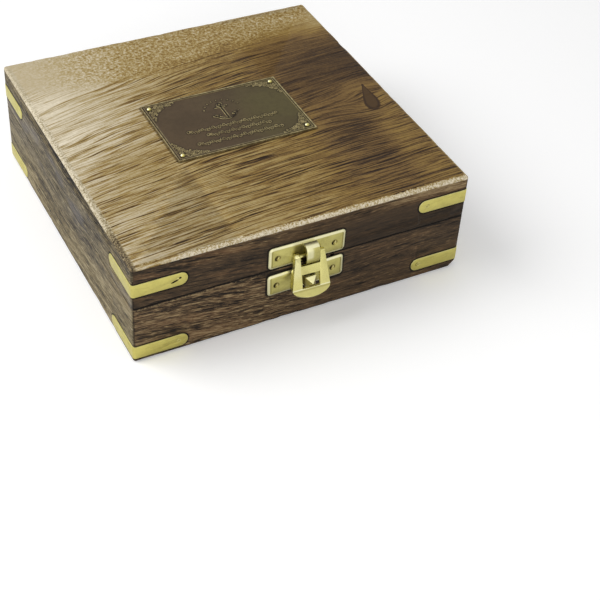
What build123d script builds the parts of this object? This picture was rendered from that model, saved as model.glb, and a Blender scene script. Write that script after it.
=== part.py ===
from build123d import *
import os
from math import atan2, cos, radians, sin, tan

# A hinged wooden box with let-in brass straps round its corners, a nailed brass plaque
# on the lid and a brass hasp latch on the front.
# Millimetres. The origin is the centre of the underside, +Z is up and the latch is at -Y.

# Box
box_width = 165.0
box_depth = 167.0
box_height = 53.0
seam_height = 30.7
wall_thickness = 10.0
top_thickness = 7.0
bottom_thickness = 5.0
corner_radius = 1.3
top_edge_radius = 1.1
foot_edge_radius = 1.0
rim_edge_radius = 0.4
worn_corner_cut = 2.2
lining_thickness = 1.2
lining_gap = 0.3

# Corner straps, each an L of flat brass strip let into two walls
strap_width = 6.8
strap_leg = 25.5
strap_inset = 0.7
strap_proud = 0.2
strap_tip_radius = 3.35
strap_groove = 0.15
lid_strap_heights = {
    "front_left": 40.8,
    "front_right": 42.3,
    "back_left": 39.8,
    "back_right": 41.4,
}
base_strap_heights = {
    "front_left": 5.3,
    "front_right": 7.8,
    "back_left": 4.6,
    "back_right": 5.8,
}
strap_nail_from_tip = 4.3
strap_nail_radius = 0.8
strap_nail_length = 8.5
strap_tip_tolerance = 0.01

# Plaque on the lid
plaque_width = 70.5
plaque_depth = 46.8
plaque_thickness = 0.9
plaque_centre = (0.3, 0.3)
plaque_corner_radius = 0.8
plaque_edge_chamfer = 0.25
plaque_nail_inset = 3.4
plaque_nail_radius = 0.6
plaque_nail_length = 6.0
plaque_nail_head_radius = 1.25
plaque_nail_head_height = 0.6

# Latch plates, of which the lower one is nailed on a little crooked
plate_width = 37.8
plate_height = 11.6
plate_thickness = 1.0
plate_border = 1.3
plate_rim_thickness = 0.4
plate_corner_radius = 1.8
upper_plate_z = 37.3
lower_plate_z = 22.35
lower_plate_tilt = 2.0
latch_nails_x = (-14.7, 13.4)
latch_nail_radius = 0.6
latch_nail_length = 7.0
latch_nail_head_radius = 1.0
latch_nail_head_height = 0.5
latch_nail_sink = 0.4
countersink_radius = 1.45

# Rolled tab of the upper plate, an upright oval as seen from its end
roll_out = 3.3
roll_z = 38.0
roll_radius = 3.3
roll_stretch = 3.6
roll_length = 6.3
roll_wall = 1.0
roll_hollow_depth = 1.8

# Hasp's pin, through the lower part of the roll
pivot_out = 2.8
pivot_z = 36.6
latch_pin_radius = 0.8
latch_pin_length = 14.8
running_clearance = 0.06

# Hasp, which hangs a little to the left and twisted in its play
hasp_x = -0.35
hasp_twist = 1.5
hasp_lean = 12.0
ear_radius = 1.5
ear_rounding = 1.45
ear_outer = 7.2
ear_inner = 4.95
ear_solid_drop = 2.2
arm_inner_low = 4.65
hasp_thickness = 1.3
hasp_flange = 1.1
crossbar_drop = 4.6
window_top_drop = 8.9
window_bottom_drop = 16.1
window_half_width = 4.4
crease_drop = 16.5
crease_half_width = 9.3
lip_length = 3.7
lip_angle = 40.0
hasp_margin = 1.5

# Stud with a pyramid head
stud_x = 0.3
stud_z = 22.6
stud_width = 5.4
stud_base_out = 5.2
stud_apex_out = 7.6
stud_apex_width = 0.25
stud_shank_radius = 1.5
stud_shank_length = 7.0

# Butt hinges on the back
hinge_x = 48.0
hinge_length = 22.0
hinge_leaf_depth = 9.0
hinge_leaf_thickness = 0.9
knuckle_radius = 2.1
knuckle_gap = 0.2
knuckle_count = 3
hinge_pin_radius = 1.0
hinge_pin_overhang = 0.4
hinge_pin_head_radius = 1.5
screw_spacing = 14.0
screw_head_radius = 1.7
screw_head_depth = 0.9
screw_radius = 0.8
screw_length = 7.0
screw_sink = 0.1
screw_slot_width = 0.4
screw_slot_depth = 0.35

half_x = box_width / 2
half_y = box_depth / 2
room_x = half_x - wall_thickness
room_y = half_y - wall_thickness
lid_wall_top = box_height - top_thickness
hinge_y = half_y + knuckle_radius + knuckle_gap
knuckle_pitch = (hinge_length + knuckle_gap) / knuckle_count
knuckle_length = knuckle_pitch - knuckle_gap

# Each corner as the signs of its X and Y
corners = {
    "front_left": (-1, -1),
    "front_right": (1, -1),
    "back_left": (-1, 1),
    "back_right": (1, 1),
}

# Each wall in plan, mitred at both ends
wall_plans = {
    "front": [(-half_x, -half_y), (half_x, -half_y), (room_x, -room_y), (-room_x, -room_y)],
    "back": [(half_x, half_y), (-half_x, half_y), (-room_x, room_y), (room_x, room_y)],
    "left": [(-half_x, half_y), (-half_x, -half_y), (-room_x, -room_y), (-room_x, room_y)],
    "right": [(half_x, -half_y), (half_x, half_y), (room_x, room_y), (room_x, -room_y)],
}

os.makedirs("parts", exist_ok=True)


def write(piece, name):
    """Labels a finished piece and writes it to its own file."""
    piece.label = name
    export_step(piece, f"parts/{name}.step")


def nail_shape(radius, length, head_radius, head_height):
    """A nail along -Z, with its domed head standing on the XY plane."""
    dome_radius = (head_radius**2 + head_height**2) / (2 * head_height)
    dome_centre = head_height - dome_radius
    half_way = atan2(head_radius, -dome_centre) / 2
    with BuildPart() as nail:
        with BuildSketch(Plane.XZ):
            with BuildLine():
                Polyline((0, head_height), (0, -length), (radius, -length), (radius, 0), (head_radius, 0))
                ThreePointArc(
                    (head_radius, 0),
                    (dome_radius * sin(half_way), dome_centre + dome_radius * cos(half_way)),
                    (0, head_height),
                )
            make_face()
        revolve(axis=Axis.Z)
    return nail.part


def screw_shape():
    """A slotted countersunk screw along -Z, with its flat head in the XY plane."""
    with BuildPart() as screw:
        with BuildSketch(Plane.XZ):
            Polygon(
                (0, 0),
                (0, -screw_length),
                (screw_radius, -screw_length),
                (screw_radius, -screw_head_depth),
                (screw_head_radius, 0),
                align=None,
            )
        revolve(axis=Axis.Z)
        with BuildSketch(Plane.XY):
            Rectangle(2 * screw_head_radius, screw_slot_width)
        extrude(amount=-screw_slot_depth, mode=Mode.SUBTRACT)
    return screw.part


# Linings, plain felt sheets inside the base and under the top board
with BuildPart() as base_lining:
    with BuildSketch(Plane.XY.offset(bottom_thickness)):
        Rectangle(2 * (room_x - lining_gap), 2 * (room_y - lining_gap))
    extrude(amount=lining_thickness)
write(base_lining.part, "base_lining")

with BuildPart() as lid_lining:
    with BuildSketch(Plane.XY.offset(lid_wall_top)):
        Rectangle(2 * (room_x - lining_gap), 2 * (room_y - lining_gap))
    extrude(amount=-lining_thickness)
write(lid_lining.part, "lid_lining")


def strap_shape(corner, centre_z, groove):
    """The strap round one corner, or with a groove width the slot that it is let into."""
    side_x, side_y = corners[corner]
    width = strap_width + 2 * groove
    leg = strap_leg + groove
    tip_x = side_x * (half_x - leg)
    tip_y = side_y * (half_y - leg)
    with BuildPart() as strap:
        with BuildSketch(Plane.XY.offset(centre_z - width / 2)):
            RectangleRounded(
                box_width + 2 * strap_proud,
                box_depth + 2 * strap_proud,
                corner_radius + strap_proud,
            )
            RectangleRounded(
                box_width - 2 * strap_inset,
                box_depth - 2 * strap_inset,
                corner_radius - strap_inset,
                mode=Mode.SUBTRACT,
            )
            with Locations((tip_x + side_x * leg, tip_y + side_y * leg)):
                Rectangle(2 * leg, 2 * leg, mode=Mode.INTERSECT)
        extrude(amount=width)
        near_tip_x = (tip_x - strap_tip_tolerance, tip_x + strap_tip_tolerance)
        near_tip_y = (tip_y - strap_tip_tolerance, tip_y + strap_tip_tolerance)
        along_x = strap.edges().filter_by(Axis.Y).filter_by_position(Axis.X, *near_tip_x)
        along_y = strap.edges().filter_by(Axis.X).filter_by_position(Axis.Y, *near_tip_y)
        fillet(along_x + along_y, strap_tip_radius + groove)
    return strap.part


def strap_nails(heights):
    """Flush brass pins, one near each tip of the straps at these heights."""
    along = strap_leg - strap_nail_from_tip
    with BuildPart() as nails:
        for corner, centre_z in heights.items():
            side_x, side_y = corners[corner]
            front_or_back = Plane(
                origin=(side_x * (half_x - along), side_y * (half_y + strap_proud), centre_z),
                z_dir=(0, -side_y, 0),
            )
            left_or_right = Plane(
                origin=(side_x * (half_x + strap_proud), side_y * (half_y - along), centre_z),
                z_dir=(-side_x, 0, 0),
            )
            for plane in (front_or_back, left_or_right):
                with BuildSketch(plane):
                    Circle(strap_nail_radius)
                extrude(amount=strap_nail_length)
    return nails.part


# Corner straps and their nails
lid_nails = strap_nails(lid_strap_heights)
write(lid_nails, "lid_strap_nails")
base_nails = strap_nails(base_strap_heights)
write(base_nails, "base_strap_nails")

for half, heights, nails in (("lid", lid_strap_heights, lid_nails), ("base", base_strap_heights, base_nails)):
    for corner, centre_z in heights.items():
        with BuildPart() as corner_strap:
            add(strap_shape(corner, centre_z, 0))
            add(nails, mode=Mode.SUBTRACT)
        write(corner_strap.part, f"{half}_strap_{corner}")

# Planes on the front of the box, with local X to the right and local Z out of the box
tilt = radians(lower_plate_tilt)
upper_face = Plane(origin=(0, -half_y, upper_plate_z), x_dir=(1, 0, 0), z_dir=(0, -1, 0))
lower_face = Plane(origin=(0, -half_y, lower_plate_z), x_dir=(cos(tilt), 0, sin(tilt)), z_dir=(0, -1, 0))


def latch_nails(face):
    """Two domed nails, sunk in the plate on this face."""
    nail = nail_shape(latch_nail_radius, latch_nail_length, latch_nail_head_radius, latch_nail_head_height)
    with BuildPart() as nails:
        with Locations(face.offset(plate_thickness - latch_nail_sink)):
            with Locations([(nail_x, 0) for nail_x in latch_nails_x]):
                add(nail)
    return nails.part


def countersinks(face):
    """The two cones that the nails' heads sit in."""
    upwards = (Align.CENTER, Align.CENTER, Align.MIN)
    with BuildPart() as cones:
        with Locations(face.offset(plate_thickness - latch_nail_sink)):
            with Locations([(nail_x, 0) for nail_x in latch_nails_x]):
                Cone(latch_nail_head_radius, countersink_radius, latch_nail_sink, align=upwards)
    return cones.part


def plate_shape(face):
    """A latch plate with a bevelled border and countersinks, flat on the front of the box."""
    with BuildPart() as plate:
        with BuildSketch(face):
            RectangleRounded(plate_width, plate_height, plate_corner_radius)
        extrude(amount=plate_rim_thickness)
        with BuildSketch(face.offset(plate_rim_thickness)):
            RectangleRounded(plate_width, plate_height, plate_corner_radius)
        with BuildSketch(face.offset(plate_thickness)):
            RectangleRounded(
                plate_width - 2 * plate_border,
                plate_height - 2 * plate_border,
                plate_corner_radius / 2,
            )
        loft()
        add(countersinks(face), mode=Mode.SUBTRACT)
    return plate.part


# Hinge pin of the latch, riveted through the roll and both ears of the hasp
pivot_plane = Plane(
    origin=(hasp_x - latch_pin_length / 2, -half_y - pivot_out, pivot_z),
    x_dir=(0, -1, 0),
    z_dir=(1, 0, 0),
)
with BuildPart() as latch_pin:
    with BuildSketch(pivot_plane):
        Circle(latch_pin_radius)
    extrude(amount=latch_pin_length)
write(latch_pin.part, "latch_pin")

latch_upper_nails = latch_nails(upper_face)
write(latch_upper_nails, "latch_upper_nails")
latch_lower_nails = latch_nails(lower_face)
write(latch_lower_nails, "latch_lower_nails")

# Upper plate, with its tab rolled out and down into a knuckle that is hollow at both ends
roll_end = Plane(
    origin=(-roll_length / 2, -half_y - roll_out, roll_z),
    x_dir=(0, -1, 0),
    z_dir=(1, 0, 0),
)
with BuildPart() as latch_upper_plate:
    add(plate_shape(upper_face))
    with BuildSketch(roll_end):
        SlotCenterToCenter(roll_stretch, 2 * roll_radius, rotation=90)
    extrude(amount=roll_length)
    for along in (0, roll_length - roll_hollow_depth):
        with BuildSketch(roll_end.offset(along)):
            SlotCenterToCenter(roll_stretch, 2 * (roll_radius - roll_wall), rotation=90)
        extrude(amount=roll_hollow_depth, mode=Mode.SUBTRACT)
    add(latch_pin.part, mode=Mode.SUBTRACT)
    add(latch_upper_nails, mode=Mode.SUBTRACT)
write(latch_upper_plate.part, "latch_upper_plate")

# Stud, a square block with a pyramid head and a round shank through the lower plate
stud_place = Location((stud_x, stud_z - lower_plate_z, 0))
with BuildPart() as latch_stud:
    with BuildSketch(lower_face.offset(plate_thickness)):
        with Locations(stud_place):
            Rectangle(stud_width, stud_width)
    extrude(amount=stud_base_out - plate_thickness)
    with BuildSketch(lower_face.offset(stud_base_out)):
        with Locations(stud_place):
            Rectangle(stud_width, stud_width)
    with BuildSketch(lower_face.offset(stud_apex_out)):
        with Locations(stud_place):
            Rectangle(stud_apex_width, stud_apex_width)
    loft()
    with BuildSketch(lower_face.offset(plate_thickness)):
        with Locations(stud_place):
            Circle(stud_shank_radius)
    extrude(amount=-stud_shank_length)
write(latch_stud.part, "latch_stud")

with BuildPart() as latch_lower_plate:
    add(plate_shape(lower_face))
    add(latch_stud.part, mode=Mode.SUBTRACT)
    add(latch_lower_nails, mode=Mode.SUBTRACT)
write(latch_lower_plate.part, "latch_lower_plate")

# Hasp, the side profile of a bent strip cut to its outline as seen from the front.
# It leans out at the bottom, and both its planes start level with the pin on the front of the ears.
lean = radians(hasp_lean)
twist = radians(hasp_twist)
hasp_front = Plane(
    origin=(hasp_x, -half_y - pivot_out, pivot_z),
    x_dir=(cos(twist), -sin(twist), 0),
    z_dir=(-sin(twist) * cos(lean), -cos(twist) * cos(lean), sin(lean)),
).offset(ear_radius)
hasp_side = Plane(origin=hasp_front.origin, x_dir=hasp_front.z_dir, z_dir=hasp_front.x_dir)
hasp_depth = 2 * ear_radius
bend = radians(lip_angle)
lip_front = (lip_length * sin(bend), crease_drop + lip_length * cos(bend))
lip_back = (lip_front[0] - hasp_thickness * cos(bend), lip_front[1] + hasp_thickness * sin(bend))
crease_back = (-hasp_thickness, crease_drop + hasp_thickness * tan(bend / 2))
flange_foot = (-hasp_depth, crease_drop - hasp_thickness)
hasp_reach = crease_half_width + hasp_margin
lip_drop = lip_back[1]

with BuildPart() as latch_hasp:
    with BuildSketch(hasp_side.offset(-hasp_reach)):
        Polygon(
            (-hasp_depth, -ear_radius),
            (0, -ear_radius),
            (0, crease_drop),
            lip_front,
            lip_back,
            crease_back,
            flange_foot,
            align=None,
        )
    extrude(amount=2 * hasp_reach)
    ear_tops = latch_hasp.edges().filter_by(Axis(hasp_side.origin, hasp_side.z_dir)).sort_by(Axis.Z)[-2:]
    fillet(ear_tops, ear_rounding)
    with BuildSketch(hasp_front.offset(2 * lip_length)):
        with BuildLine():
            Polyline(
                (-crease_half_width, -crease_drop),
                (-ear_outer, 0),
                (-ear_outer, ear_radius),
                (ear_outer, ear_radius),
                (ear_outer, 0),
                (crease_half_width, -crease_drop),
            )
            ThreePointArc(
                (crease_half_width, -crease_drop),
                (0, -lip_drop),
                (-crease_half_width, -crease_drop),
            )
        make_face()
        Polygon(
            (-ear_inner, ear_radius),
            (-arm_inner_low, -crossbar_drop),
            (arm_inner_low, -crossbar_drop),
            (ear_inner, ear_radius),
            align=None,
            mode=Mode.SUBTRACT,
        )
        with Locations((0, -(window_top_drop + window_bottom_drop) / 2)):
            Rectangle(2 * window_half_width, window_bottom_drop - window_top_drop, mode=Mode.SUBTRACT)
    extrude(amount=-4 * lip_length, mode=Mode.INTERSECT)
    with BuildSketch(hasp_front.offset(-hasp_thickness)):
        Polygon(
            (hasp_flange - ear_outer, -ear_solid_drop),
            (hasp_flange - crease_half_width, -lip_drop),
            (crease_half_width - hasp_flange, -lip_drop),
            (ear_outer - hasp_flange, -ear_solid_drop),
            align=None,
        )
    extrude(amount=-2 * hasp_depth, mode=Mode.SUBTRACT)
    with BuildSketch(pivot_plane.offset(-latch_pin_length)):
        Circle(latch_pin_radius + running_clearance)
    extrude(amount=3 * latch_pin_length, mode=Mode.SUBTRACT)
write(latch_hasp.part, "latch_hasp")


def leaf_shape(side, pin_hole_radius, own_knuckles):
    """A right-hand hinge leaf, above the seam when side is 1 and below it when side is -1."""
    reach = hinge_y - half_y
    with BuildPart() as leaf:
        with BuildSketch(Plane.XY.offset(seam_height)):
            with Locations((hinge_x, half_y - hinge_leaf_depth / 2)):
                Rectangle(hinge_length, hinge_leaf_depth)
            for index in own_knuckles:
                knuckle_x = hinge_x + (index - (knuckle_count - 1) / 2) * knuckle_pitch
                with Locations((knuckle_x, half_y + reach / 2)):
                    Rectangle(knuckle_length, reach)
        extrude(amount=side * hinge_leaf_thickness)
        for index in own_knuckles:
            knuckle_x = hinge_x + (index - (knuckle_count - 1) / 2) * knuckle_pitch
            barrel_end = Plane(origin=(knuckle_x - knuckle_length / 2, hinge_y, seam_height), z_dir=(1, 0, 0))
            with BuildSketch(barrel_end):
                Circle(knuckle_radius)
            extrude(amount=knuckle_length)
        with BuildSketch(Plane(origin=(hinge_x - hinge_length, hinge_y, seam_height), z_dir=(1, 0, 0))):
            Circle(pin_hole_radius)
        extrude(amount=2 * hinge_length, mode=Mode.SUBTRACT)
    return leaf.part


def leaf_screws(side):
    """The two screws of a right-hand leaf, sunk just below its face."""
    face_z = seam_height + side * screw_sink
    with BuildPart() as screws:
        with Locations(Plane(origin=(hinge_x, half_y - hinge_leaf_depth / 2, face_z), z_dir=(0, 0, -side))):
            with Locations((-screw_spacing / 2, 0), (screw_spacing / 2, 0)):
                add(screw_shape())
    return screws.part


# Hinge pins, each peened over at both ends
with BuildPart() as right_hinge_pin:
    pin_end = hinge_length / 2
    with BuildSketch(Plane(origin=(hinge_x - pin_end, hinge_y, seam_height), z_dir=(1, 0, 0))):
        Circle(hinge_pin_radius)
    extrude(amount=hinge_length)
    for end in (hinge_x - pin_end - hinge_pin_overhang, hinge_x + pin_end):
        with BuildSketch(Plane(origin=(end, hinge_y, seam_height), z_dir=(1, 0, 0))):
            Circle(hinge_pin_head_radius)
        extrude(amount=hinge_pin_overhang)

# The base leaf grips the pin, and the lid leaf turns on it
leaf_kinds = {
    "base": (-1, hinge_pin_radius, (0, 2)),
    "lid": (1, hinge_pin_radius + running_clearance, (1,)),
}
hinge_cuts = {}
for half, (side, pin_hole_radius, own_knuckles) in leaf_kinds.items():
    right_screws = leaf_screws(side)
    with BuildPart() as leaf_blanks:
        add(leaf_shape(side, pin_hole_radius, own_knuckles))
        mirror(about=Plane.YZ)
    with BuildPart() as right_leaf:
        add(leaf_shape(side, pin_hole_radius, own_knuckles))
        with Locations(Plane(origin=(hinge_x, half_y - hinge_leaf_depth / 2, seam_height), z_dir=(0, 0, -side))):
            with Locations((-screw_spacing / 2, 0), (screw_spacing / 2, 0)):
                Cylinder(
                    screw_head_radius,
                    screw_sink,
                    align=(Align.CENTER, Align.CENTER, Align.MAX),
                    mode=Mode.SUBTRACT,
                )
        add(right_screws, mode=Mode.SUBTRACT)
    with BuildPart() as left_leaf:
        add(right_leaf.part)
        mirror(about=Plane.YZ, mode=Mode.REPLACE)
    with BuildPart() as hinge_screws:
        add(right_screws)
        mirror(about=Plane.YZ)
    write(right_leaf.part, f"right_hinge_{half}_leaf")
    write(left_leaf.part, f"left_hinge_{half}_leaf")
    write(hinge_screws.part, f"hinge_{half}_screws")
    hinge_cuts[half] = [leaf_blanks.part, hinge_screws.part]

write(right_hinge_pin.part, "right_hinge_pin")
with BuildPart() as left_hinge_pin:
    add(right_hinge_pin.part)
    mirror(about=Plane.YZ, mode=Mode.REPLACE)
write(left_hinge_pin.part, "left_hinge_pin")

# Plaque and its four nails, on the top board
plaque_top = Plane.XY.offset(box_height + plaque_thickness)
nail_row_x = plaque_width / 2 - plaque_nail_inset
nail_row_y = plaque_depth / 2 - plaque_nail_inset
with BuildPart() as plaque_nails:
    with Locations(plaque_top):
        with Locations(plaque_centre):
            with GridLocations(2 * nail_row_x, 2 * nail_row_y, 2, 2):
                add(
                    nail_shape(
                        plaque_nail_radius,
                        plaque_nail_length,
                        plaque_nail_head_radius,
                        plaque_nail_head_height,
                    )
                )
write(plaque_nails.part, "plaque_nails")

with BuildPart() as plaque:
    with BuildSketch(Plane.XY.offset(box_height)):
        with Locations(plaque_centre):
            RectangleRounded(plaque_width, plaque_depth, plaque_corner_radius)
    extrude(amount=plaque_thickness)
    chamfer(plaque.faces().sort_by(Axis.Z)[-1].edges(), plaque_edge_chamfer)
    add(plaque_nails.part, mode=Mode.SUBTRACT)
write(plaque.part, "plaque")

# Whole base and lid blocks, from which the walls and the top board are cut.
# The front right foot is rubbed away to a small slanted facet.
with BuildPart() as base_block:
    with BuildSketch(Plane.XY):
        RectangleRounded(box_width, box_depth, corner_radius)
    extrude(amount=seam_height)
    fillet(base_block.faces().sort_by(Axis.Z)[0].edges(), foot_edge_radius)
    fillet(base_block.faces().sort_by(Axis.Z)[-1].edges(), rim_edge_radius)
    worn_foot = Plane(origin=(half_x - worn_corner_cut, -half_y + worn_corner_cut, 0), z_dir=(1, -1, -1))
    split(bisect_by=worn_foot, keep=Keep.BOTTOM)

with BuildPart() as lid_block:
    with BuildSketch(Plane.XY.offset(seam_height)):
        RectangleRounded(box_width, box_depth, corner_radius)
    extrude(amount=box_height - seam_height)
    fillet(lid_block.faces().sort_by(Axis.Z)[0].edges(), rim_edge_radius)
    fillet(lid_block.faces().sort_by(Axis.Z)[-1].edges(), top_edge_radius)

# Walls, each with slots for the straps and holes for nails, screws and the stud
base_cuts = [strap_shape(corner, centre_z, strap_groove) for corner, centre_z in base_strap_heights.items()]
base_cuts += [base_nails, latch_lower_nails, latch_stud.part] + hinge_cuts["base"]
lid_cuts = [strap_shape(corner, centre_z, strap_groove) for corner, centre_z in lid_strap_heights.items()]
lid_cuts += [lid_nails, latch_upper_nails] + hinge_cuts["lid"]

for half, block, cuts, low, high in (
    ("base", base_block.part, base_cuts, 0, seam_height),
    ("lid", lid_block.part, lid_cuts, seam_height, lid_wall_top),
):
    for side, plan in wall_plans.items():
        with BuildPart() as wall:
            add(block)
            with BuildSketch(Plane.XY.offset(low)):
                Polygon(*plan, align=None)
            extrude(amount=high - low, mode=Mode.INTERSECT)
            for cut in cuts:
                add(cut, mode=Mode.SUBTRACT)
        write(wall.part, f"{half}_{side}_wall")

# Bottom board, let in between the walls and level with their feet
with BuildPart() as base_bottom_board:
    with BuildSketch(Plane.XY):
        Rectangle(2 * room_x, 2 * room_y)
    extrude(amount=bottom_thickness)
write(base_bottom_board.part, "base_bottom_board")

# Top board, glued on the lid walls, with its edges rubbed round
with BuildPart() as lid_top_board:
    add(lid_block.part)
    with BuildSketch(Plane.XY.offset(lid_wall_top)):
        Rectangle(box_width, box_depth)
    extrude(amount=top_thickness, mode=Mode.INTERSECT)
    add(plaque_nails.part, mode=Mode.SUBTRACT)
write(lid_top_board.part, "lid_top_board")
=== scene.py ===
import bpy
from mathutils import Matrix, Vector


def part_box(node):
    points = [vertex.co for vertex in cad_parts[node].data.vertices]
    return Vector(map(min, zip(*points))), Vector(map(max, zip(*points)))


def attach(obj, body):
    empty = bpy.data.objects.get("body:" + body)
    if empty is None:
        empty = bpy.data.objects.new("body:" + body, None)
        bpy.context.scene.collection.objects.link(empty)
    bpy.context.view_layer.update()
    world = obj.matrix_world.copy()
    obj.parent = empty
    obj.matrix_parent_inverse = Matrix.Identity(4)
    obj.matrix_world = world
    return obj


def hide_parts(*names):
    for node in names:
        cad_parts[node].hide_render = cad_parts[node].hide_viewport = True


bl_info = {
    "name": "Compass Box",
    "version": (1, 0, 0),
    "blender": (4, 5, 0),
    "location": "3D View > Sidebar > Compass Box",
    "description": "Dresses a small hinged wooden box with worn stained wood and brass fittings",
    "category": "Object",
}

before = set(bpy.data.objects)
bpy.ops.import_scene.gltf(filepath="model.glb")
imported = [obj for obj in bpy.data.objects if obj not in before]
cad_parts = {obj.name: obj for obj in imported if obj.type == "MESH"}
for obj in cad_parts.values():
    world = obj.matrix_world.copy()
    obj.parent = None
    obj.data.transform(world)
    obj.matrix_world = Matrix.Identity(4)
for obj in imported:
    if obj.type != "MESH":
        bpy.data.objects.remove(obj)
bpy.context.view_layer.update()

import math
import random

import bmesh
import bpy
from mathutils import Matrix, Vector, noise
from mathutils.kdtree import KDTree

MM = 0.001

# The box's own outline and levels, read from its boards
BOARD_LOW, BOARD_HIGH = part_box("lid_top_board")
HALF_X = BOARD_HIGH.x
HALF_Y = BOARD_HIGH.y
TOP_Z = BOARD_HIGH.z
BOARD_Z = BOARD_LOW.z
SEAM_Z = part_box("base_front_wall")[1].z

HALVES = ("base", "lid")
SIDES = ("front", "back", "left", "right")
FACING_Y = ("front", "back")
CORNERS = ("front_left", "front_right", "back_left", "back_right")

# In millimetres: corner radii, half the size of a latch plate, how far the plaque's nails are from
# its edges, and how far its field is below its rim
STRAP_CORNER = 3.3
PLATE_CORNER = 1.8
PLAQUE_CORNER = 0.8
PLATE_HALF_WIDTH = 18.9
PLATE_HALF_HEIGHT = 5.8
NAIL_INSET = 3.4
FIELD_DEPTH = 0.12

# The woods' specular level, and the hasp's lean and twist and its lip's bend, in degrees
WOOD_SHINE = 0.12
HASP_LEAN, HASP_TWIST, LIP_BEND = 12.0, 1.5, 40.0


def linear(red, green, blue):
    """A colour given in 0 to 255 steps as a screen shows it, in the form that shaders take."""
    steps = [c / 255 for c in (red, green, blue)]
    return tuple(c / 12.92 if c <= 0.04045 else ((c + 0.055) / 1.055) ** 2.4 for c in steps)


def colour_setting(name, description, red, green, blue):
    """A colour that a user may change."""
    return bpy.props.FloatVectorProperty(
        name=name,
        description=description,
        subtype="COLOR",
        min=0.0,
        max=1.0,
        default=linear(red, green, blue),
    )


def length_setting(name, description, millimetres):
    """A length that a user may change."""
    return bpy.props.FloatProperty(
        name=name,
        description=description,
        subtype="DISTANCE",
        unit="LENGTH",
        min=0.0,
        default=millimetres * MM,
    )


def power_setting(name, description, watts):
    """A lamp's power, which a user may change."""
    return bpy.props.FloatProperty(
        name=name, description=description, subtype="POWER", unit="POWER", default=watts
    )


def box_mm(node):
    """Low and high corners of a CAD node, in millimetres."""
    return [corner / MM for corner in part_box(node)]


class CompassBoxWood(bpy.types.PropertyGroup):
    """Colours of the stained wood."""

    deep: colour_setting("Deep", "Darkest grain lines of the lid", 34, 22, 11)
    dark: colour_setting("Dark", "Dark streaks of the lid", 60, 42, 22)
    brown: colour_setting("Brown", "Darker middle tone of the lid", 93, 70, 38)
    amber: colour_setting("Amber", "Lighter middle tone of the lid", 118, 92, 52)
    gold: colour_setting("Gold", "Light streaks of the lid", 141, 115, 60)
    sand: colour_setting("Sand", "Thin stain at the left of the lid", 168, 148, 101)
    # Pale is faded wood with painted sheen at the back left of the lid
    pale: colour_setting("Pale", "Faded grey beige at the back left of the lid", 194, 181, 153)
    # Soot is the darkest grain, and the dirt with painted shade in the seam and round the fittings
    bare: colour_setting("Bare", "Bare wood along the rubbed edges", 229, 218, 194)
    soot: colour_setting("Soot", "Dirt in the seam and round the fittings", 18, 14, 10)
    stain: colour_setting("Stain", "Darkest stain of the walls", 44, 36, 28)
    stain_worn: colour_setting("Worn stain", "Middle tone of the walls", 70, 55, 39)
    stain_thin: colour_setting("Thin stain", "Lighter streaks of the walls", 106, 85, 60)
    stain_light: colour_setting("Light stain", "Flecks where the stain is rubbed off", 150, 130, 95)
    red: colour_setting("Red", "Reddish heartwood under worn stain", 98, 60, 38)
    # The greys of the left side are weathered stain with painted sheen, and the cool grey is
    # painted sheen
    grey_dark: colour_setting("Dark grey", "Weathered stain of the left side", 52, 47, 40)
    grey: colour_setting("Grey", "Middle tone of the left side", 104, 94, 74)
    grey_light: colour_setting("Light grey", "Lightest weathered streaks", 156, 144, 114)
    grey_warm: colour_setting("Warm grey", "Middle tone low on the left side", 118, 103, 70)
    grey_cool: colour_setting("Cool grey", "Cloudy patches high on the left side", 100, 99, 106)
    inside: colour_setting("Inside", "Bare wood on the inner faces", 134, 102, 66)


class CompassBoxWear(bpy.types.PropertyGroup):
    """How far the edges are rubbed down."""

    rub_front: length_setting("Front rub", "Width of the lid's pale strip along the front", 2.5)
    rub_left: length_setting("Left rub", "Width of the lid's pale strip along the left", 3.4)
    rub_other: length_setting("Other rub", "Width of the pale strip along the other edges", 0.8)
    slope_width: length_setting("Slope width", "How far in the lid top is sanded down", 4.5)
    slope_depth: length_setting("Slope depth", "How deep the lid top's edges are sanded down", 0.45)
    nick_depth: length_setting("Nick depth", "Depth of the deepest nicks along the edges", 0.55)


class CompassBoxMetal(bpy.types.PropertyGroup):
    """Colours of the brass."""

    strap: colour_setting("Straps", "Rubbed brass of the corner straps", 206, 196, 112)
    latch: colour_setting("Latch", "Polished brass of the latch", 216, 208, 134)
    plate: colour_setting("Plates", "Dull brass of the latch plates", 192, 184, 112)
    # Bright is the painted highlight on the brass edges and facets, and edges polished by handling
    bright: colour_setting("Bright edges", "Brass edges polished by handling", 250, 247, 212)
    # Tarnish is dull brass, and it also takes the painted shade of the marks
    tarnish: colour_setting("Tarnish", "Dull brass in hollows and along edges", 104, 90, 38)
    # Pitch is dirt, and painted shade where the marks are darkest
    pitch: colour_setting("Pitch", "Dirt packed round nails and in corners", 30, 24, 14)
    bronze: colour_setting("Plaque", "Dark patina of the plaque", 84, 69, 50)
    bronze_green: colour_setting("Plaque green", "Greener patina of the plaque", 84, 77, 46)
    # The plaque's lines are rubbed metal and painted highlight, and its hollows are dirt and
    # painted shade
    bronze_worn: colour_setting("Plaque lines", "Rubbed high lines of the plaque", 164, 150, 108)
    bronze_deep: colour_setting("Plaque hollows", "Dirt beside the raised lines", 34, 27, 17)
    nail: colour_setting("Nails", "Domed nails", 214, 204, 128)
    softness: length_setting("Edge softness", "Rounding of the brass edges", 0.22)


class CompassBoxFelt(bpy.types.PropertyGroup):
    """The felt linings."""

    colour: colour_setting("Felt", "Colour of the felt", 46, 72, 52)
    nap: length_setting("Nap", "How far the felt's surface rises and falls", 0.2)


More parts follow.
